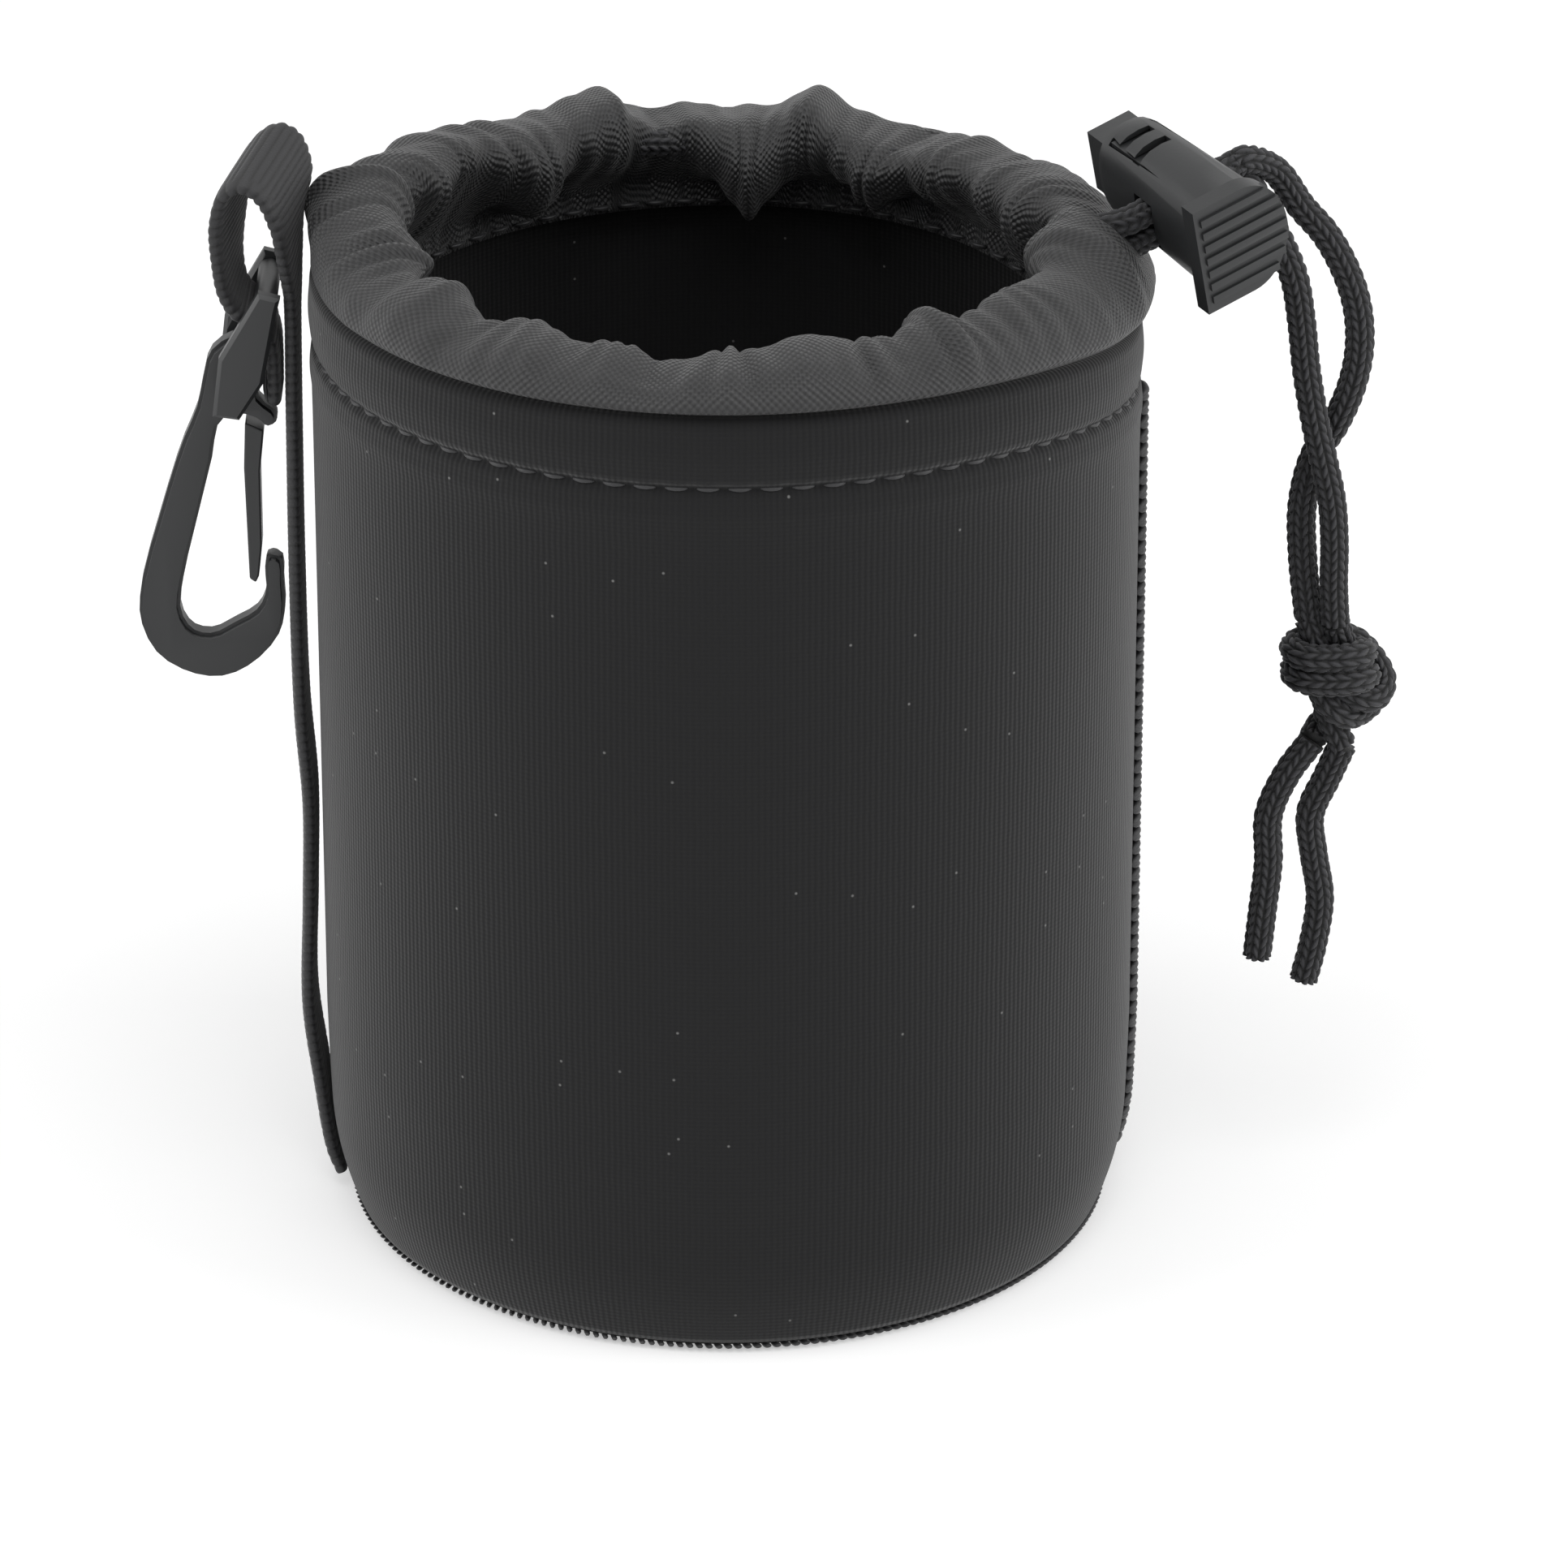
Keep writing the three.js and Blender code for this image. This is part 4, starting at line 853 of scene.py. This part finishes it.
collar = piece(
    "collar_cloth", collar_points, [grid(ROWS, FOLD_TURNS, loop_columns=True)], oxford, "pouch",
    ["collar"], uv=collar_uv,
)
thicken = collar.modifiers.new("cloth thickness", "SOLIDIFY")
thicken.thickness = CLOTH_THICKNESS
thicken.offset = 0

# %% [markdown]
# ## Webbing strap
# A narrow ribbed tape: picks of thick yarn lie across it 0.9 mm apart between two knitted edges.
# The tape's section is carried along its route, and each pick is a rounded bar of real relief,
# because the bars show as steps along the tape's edge, which a bump map can't give.

# %% Webbing
webbing = new_material("ribbed_polypropylene_webbing")
rib_relief = add(webbing, "Attribute", attribute_name="relief").outputs["Fac"]
webbing_place = add(webbing, "TexCoord").outputs["Object"]
filament = add(webbing, "TexNoise", {"Vector": webbing_place, "Scale": 3800.0, "Detail": 2.0})
# The colour follows the picks' relief: painted shade in the grooves between them and a painted highlight on
# their tops.
webbing_shade_and_highlight = add(webbing, "ValToRGB", {"Fac": rib_relief})
webbing_shade_and_highlight.color_ramp.elements[0].color = linear("#060607")
webbing_shade_and_highlight.color_ramp.elements[1].color = linear("#28282a")
webbing_bump = add(webbing, "Bump", {"Height": filament.outputs["Fac"], "Strength": 0.5, "Distance": 0.00015})
webbing_shader = add(
    webbing, "BsdfPrincipled",
    {
        "Base Color": webbing_shade_and_highlight.outputs["Color"], "Roughness": 0.6, "Sheen Weight": 0.2,
        "Normal": webbing_bump.outputs["Normal"],
    },
)
add(webbing, "OutputMaterial", {"Surface": webbing_shader.outputs[0]})

# %% Strap route
# Each point: distance to the side, height, then how far the tape turns in plan and in its slant.
strap_route = np.array([
    [-51.9, 2.2, 0, 0], [-53.1, 5.5, 0, 0], [-54.6, 16, 0, 0], [-55.8, 27, 0, 0], [-55.4, 42, 0, 0],
    [-55.1, 56.5, 0, 0], [-55.9, 70, 0, 0], [-56.1, 90, 0, 0], [-56.0, 108, 0, 0], [-55.9, 118, 0, 0],
    [-55.8, 124.5, 0, 0.1], [-55.7, 130, 0.1, 0.35], [-55.9, 136, 0.4, 0.7], [-55.8, 141.5, 0.9, 0.9],
    [-57.4, 145.4, 1, 1], [-59.6, 146.6, 1, 1], [-61.9, 145.2, 1, 1], [-63.3, 141, 0.9, 0.95],
    [-63.8, 135.6, 0.6, 0.8], [-63.7, 130.8, 0.35, 0.5], [-62.7, 127.6, 0.15, 0.25],
    [-60.9, 125.9, 0.05, 0.1], [-59.2, 124.4, 0, 0], [-58.4, 121.8, 0, 0], [-58.25, 118.5, 0, 0],
    [-58.3, 114.5, 0, 0],
])
PICK = 0.9
STRAP_STEP = PICK / 6
TAPE_WIDTH, TAPE_THICKNESS = 11, 1.8
TAPE_SIDES = 28
strap_line = smooth_line(strap_route[:, :2], STRAP_STEP)
station = np.array([np.argmin(np.linalg.norm(strap_line - p, axis=1)) for p in strap_route[:, :2]])
twist = np.interp(np.arange(len(strap_line)), station, strap_route[:, 2])
slant = np.interp(np.arange(len(strap_line)), station, strap_route[:, 3])
strap_run = np.arange(len(strap_line)) * PICK / 6
corner = np.arange(TAPE_SIDES) / TAPE_SIDES * 2 * math.pi
wide = TAPE_WIDTH / 2 * np.sign(np.cos(corner)) * np.abs(np.cos(corner)) ** 0.35
thick = TAPE_THICKNESS / 2 * np.sign(np.sin(corner)) * np.abs(np.sin(corner)) ** 0.6
on_edge = np.clip((np.abs(wide) - 4.2) / 0.6, 0, 1)[None]
bars = np.abs(np.sin(math.pi * strap_run / PICK))[:, None] ** 0.7
edge_loops = np.abs(np.sin(math.pi * strap_run / (1.5 * PICK) + 0.6))[:, None] ** 0.8
strap_relief = mix(bars * np.ones_like(on_edge), edge_loops * np.ones_like(on_edge), on_edge)
swellings = 1 + 0.16 * (strap_relief - 0.6)
tangent = unit(np.gradient(strap_line, axis=0))
v = wide[None] * (1 + 0.04 * (edge_loops - 0.5) * on_edge)
h = thick[None] * swellings
strap_points = np.stack([
    strap_line[:, :1] + tangent[:, 1:] * h + v * np.tan(np.radians(24 * twist))[:, None],
    v,
    strap_line[:, 1:] - tangent[:, :1] * h + v * np.tan(np.radians(22 * slant))[:, None],
], -1) * MM
strap_faces = [grid(len(strap_line), TAPE_SIDES, loop_columns=True), *end_caps(len(strap_line), TAPE_SIDES)]
strap = piece(
    "webbing_strap", strap_points, strap_faces, webbing, "pouch", ["strap"], relief=strap_relief
)

# %% Bartack
TACKS, TACK_PITCH, TACK_SIDE, TACK_HEIGHT = 16, 0.6, -59.35, 116.9
tack = np.arange(TACKS)
tack_y = (tack - 7.5) * TACK_PITCH
tack_middles = np.stack([TACK_SIDE + 0 * tack_y, tack_y, TACK_HEIGHT + 0 * tack_y], 1) * MM
tack_ways = np.stack([0 * tack_y, np.where(tack % 2 == 0, 0.25, -0.25), 1 + 0 * tack_y], 1)
tack_outs = np.tile([-1.0, 0, 0], (TACKS, 1))
stitch_row(
    "strap_bartack_stitches", tack_middles, tack_ways, tack_outs, 4.4 * MM, 0.6 * MM, ["strap_bartack"]
)

# %% [markdown]
# ## Moulded hook and cord lock
# Hook, tongue and lock are injection moulded from acetal, a tough dark grey plastic with a satin
# face. Their shapes come from the CAD. A copy of each is merged into one skin, its flat faces are
# joined, and a bevel rounds every edge as a mould does, which gives the thin bright lines of light.

# %% Acetal
acetal = new_material("moulded_acetal")
acetal_place = add(acetal, "TexCoord").outputs["Object"]
spark = add(acetal, "TexNoise", {"Vector": acetal_place, "Scale": 2200.0, "Detail": 2.0})
drift = add(acetal, "TexNoise", {"Vector": acetal_place, "Scale": 90.0, "Detail": 3.0})
acetal_tone = add(
    acetal, "Mix", {"Factor": drift.outputs["Fac"], "A": linear("#242526"), "B": linear("#303132")},
    data_type="RGBA",
)
acetal_gloss = add(acetal, "MapRange", {"Value": drift.outputs["Fac"], "To Min": 0.34, "To Max": 0.5})
acetal_bump = add(acetal, "Bump", {"Height": spark.outputs["Fac"], "Strength": 0.12, "Distance": 0.0001})
acetal_shader = add(
    acetal, "BsdfPrincipled",
    {
        "Base Color": acetal_tone.outputs["Result"], "Roughness": acetal_gloss.outputs[0], "IOR": 1.48,
        "Normal": acetal_bump.outputs["Normal"],
    },
)
add(acetal, "OutputMaterial", {"Surface": acetal_shader.outputs[0]})


# %% Bevelled copies of moulded parts
MERGE = 2e-6
FLAT, EDGE_TURN, CREASE = math.radians(1.5), math.radians(28), math.radians(50)


def moulded(node, name, body, bevel):
    """A merged copy of a CAD node with flat faces joined and every edge over 28 degrees bevelled."""
    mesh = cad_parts[node].data.copy()
    mesh.name = name
    shape = bmesh.new()
    shape.from_mesh(mesh)
    bmesh.ops.remove_doubles(shape, verts=shape.verts, dist=MERGE)
    bmesh.ops.dissolve_limit(shape, angle_limit=FLAT, verts=shape.verts, edges=shape.edges)
    shape.to_mesh(mesh)
    shape.free()
    mesh.materials.clear()
    mesh.materials.append(acetal)
    made = put(name, mesh)
    edges = made.modifiers.new("mould radius", "BEVEL")
    edges.width = bevel
    edges.segments = 3
    edges.limit_method = "ANGLE"
    edges.angle_limit = EDGE_TURN
    edges.use_clamp_overlap = True
    edges.harden_normals = False
    mesh.polygons.foreach_set("use_smooth", np.full(len(mesh.polygons), True))
    mesh.set_sharp_from_angle(angle=CREASE)
    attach(made, body)
    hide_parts(node)
    print(name, len(mesh.polygons), "faces")


moulded("hook_frame", "belt_hook_frame", "belt_hook", 0.3 * MM)
moulded("hook_gate", "belt_hook_tongue", "hook_tongue", 0.25 * MM)
moulded("lock_shell", "cord_lock_shell", "cord_lock", 0.22 * MM)
moulded("lock_plunger", "cord_lock_button", "cord_lock_plunger", 0.3 * MM)

# %% [markdown]
# ## The spring
# A coil of drawn steel wire pushes the button out of the lock. It is a copy of the CAD's coil, left as it is.

# %% Spring steel
steel = new_material("drawn_spring_steel")
steel_place = add(steel, "TexCoord").outputs["Object"]
drawn = add(steel, "TexNoise", {"Vector": steel_place, "Scale": 1500.0, "Detail": 2.0})
steel_gloss = add(steel, "MapRange", {"Value": drawn.outputs["Fac"], "To Min": 0.22, "To Max": 0.4})
steel_shader = add(
    steel, "BsdfPrincipled",
    {"Base Color": linear("#a7a7a4"), "Metallic": 1.0, "Roughness": steel_gloss.outputs[0]},
)
add(steel, "OutputMaterial", {"Surface": steel_shader.outputs[0]})

# %% The spring
spring_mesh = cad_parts["lock_spring"].data.copy()
spring_mesh.name = "cord_lock_coil"
spring_mesh.materials.clear()
spring_mesh.materials.append(steel)
coil = put("cord_lock_coil", spring_mesh)
coil_points = np.zeros(len(spring_mesh.vertices) * 3)
spring_mesh.vertices.foreach_get("co", coil_points)
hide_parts("lock_spring")
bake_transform(coil)

# %% [markdown]
# ## The cord in its channel
# One length of cord runs through the lock, round inside the collar and through the lock again.
# The cloth hides most of it, so it is the same knitted tube with fewer sides and longer steps.

# %% Cord through lock and collar
loop_turn = np.radians(np.linspace(8, 346, 41))
loop_route = np.vstack([
    [lock_point(x, upper_cord) for x in (lock_exit, 4, -3, -8)],
    [[48.6, -4.4, 139.0], [46.3, -3.4, 137.5], [45.6, 0.8, 136.1]],
    around(channel_radius(loop_turn), loop_turn, channel_height(loop_turn)) / MM,
    [[48.9, -6.2, 135.1]],
    [lock_point(x, lower_cord) for x in (-8, -3, 4, lock_exit)],
])
loop_path = smooth_line(loop_route * MM, 0.3 * MM)
knitted_tube("drawcord_in_channel", loop_path, lock_y, "pouch", ["drawcord_loop"], sides=48)
print("cord in the channel, mm", round(line_length(loop_path) / MM, 1))

# %% [markdown]
# ## Floor, lights and background
# A pale floor and a white surround, as in a light tent. Three large soft lamps: one above and in
# front, and one at each side, which give the neoprene its lighter flanks. What the camera, gloss
# and glass see of the surround is plain white; its light on the object is a softer level.

# %% Floor
def rays_that_see_white(material):
    """1 for camera, glossy and transmission rays and 0 for the rest: the greatest of the three."""
    rays = add(material, "LightPath").outputs
    seen = add(material, "Math", {0: rays["Is Camera Ray"], 1: rays["Is Glossy Ray"]}, operation="MAXIMUM")
    return add(material, "Math", {0: seen.outputs[0], 1: rays["Is Transmission Ray"]}, operation="MAXIMUM")


floor_mesh = bpy.data.meshes.new("floor")
floor_mesh.from_pydata([(-3, -3, 0), (3, -3, 0), (3, 3, 0), (-3, 3, 0)], [], [(0, 1, 2, 3)])
floor = put("floor", floor_mesh)
paper = new_material("white_paper_sweep")
seen = rays_that_see_white(paper)
paper_face = add(paper, "BsdfPrincipled", {"Base Color": (0.82, 0.82, 0.82, 1), "Roughness": 0.9})
paper_glow = add(paper, "Emission", {"Color": (1, 1, 1, 1), "Strength": 0.42})
paper_none = add(paper, "Emission", {"Color": (0, 0, 0, 1), "Strength": 0.0})
paper_seen = add(paper, "MixShader", {0: seen.outputs[0], 1: paper_none.outputs[0], 2: paper_glow.outputs[0]})
paper_both = add(paper, "AddShader", {0: paper_face.outputs[0], 1: paper_seen.outputs[0]})
add(paper, "OutputMaterial", {"Surface": paper_both.outputs[0]})
floor_mesh.materials.append(paper)

# %% Lamps and world
LIT_POINT = (0.0, 0.0, 0.07)
for name, spot, size, power in (
    ("lamp above", (0.1, -0.45, 1.25), 0.9, 5.0),
    ("lamp left", (-1.2, -0.25, 0.45), 0.8, 5.5),
    ("lamp right", (1.2, -0.25, 0.45), 0.8, 5.5),
):
    lamp = bpy.data.lights.new(name, "AREA")
    lamp.shape = "SQUARE"
    lamp.size = size
    lamp.energy = power
    placed = put(name, lamp)
    aim = np.array(LIT_POINT) - spot
    flat_length = math.hypot(aim[0], aim[1])
    placed.location = spot
    placed.rotation_euler = (math.atan2(flat_length, -aim[2]), 0, math.atan2(aim[1], aim[0]) - math.pi / 2)
world = bpy.data.worlds.new("surround")
world.use_nodes = True
world.node_tree.nodes.clear()
seen = rays_that_see_white(world)
surround = add(world, "Background", {"Color": (1, 1, 1, 1), "Strength": 1.0})
fill = add(world, "Background", {"Color": (1, 1, 1, 1), "Strength": 0.45})
both = add(world, "MixShader", {0: seen.outputs[0], 1: fill.outputs[0], 2: surround.outputs[0]})
add(world, "OutputWorld", {"Surface": both.outputs[0]})
bpy.context.scene.world = world
bpy.context.scene.view_settings.view_transform = "Standard"
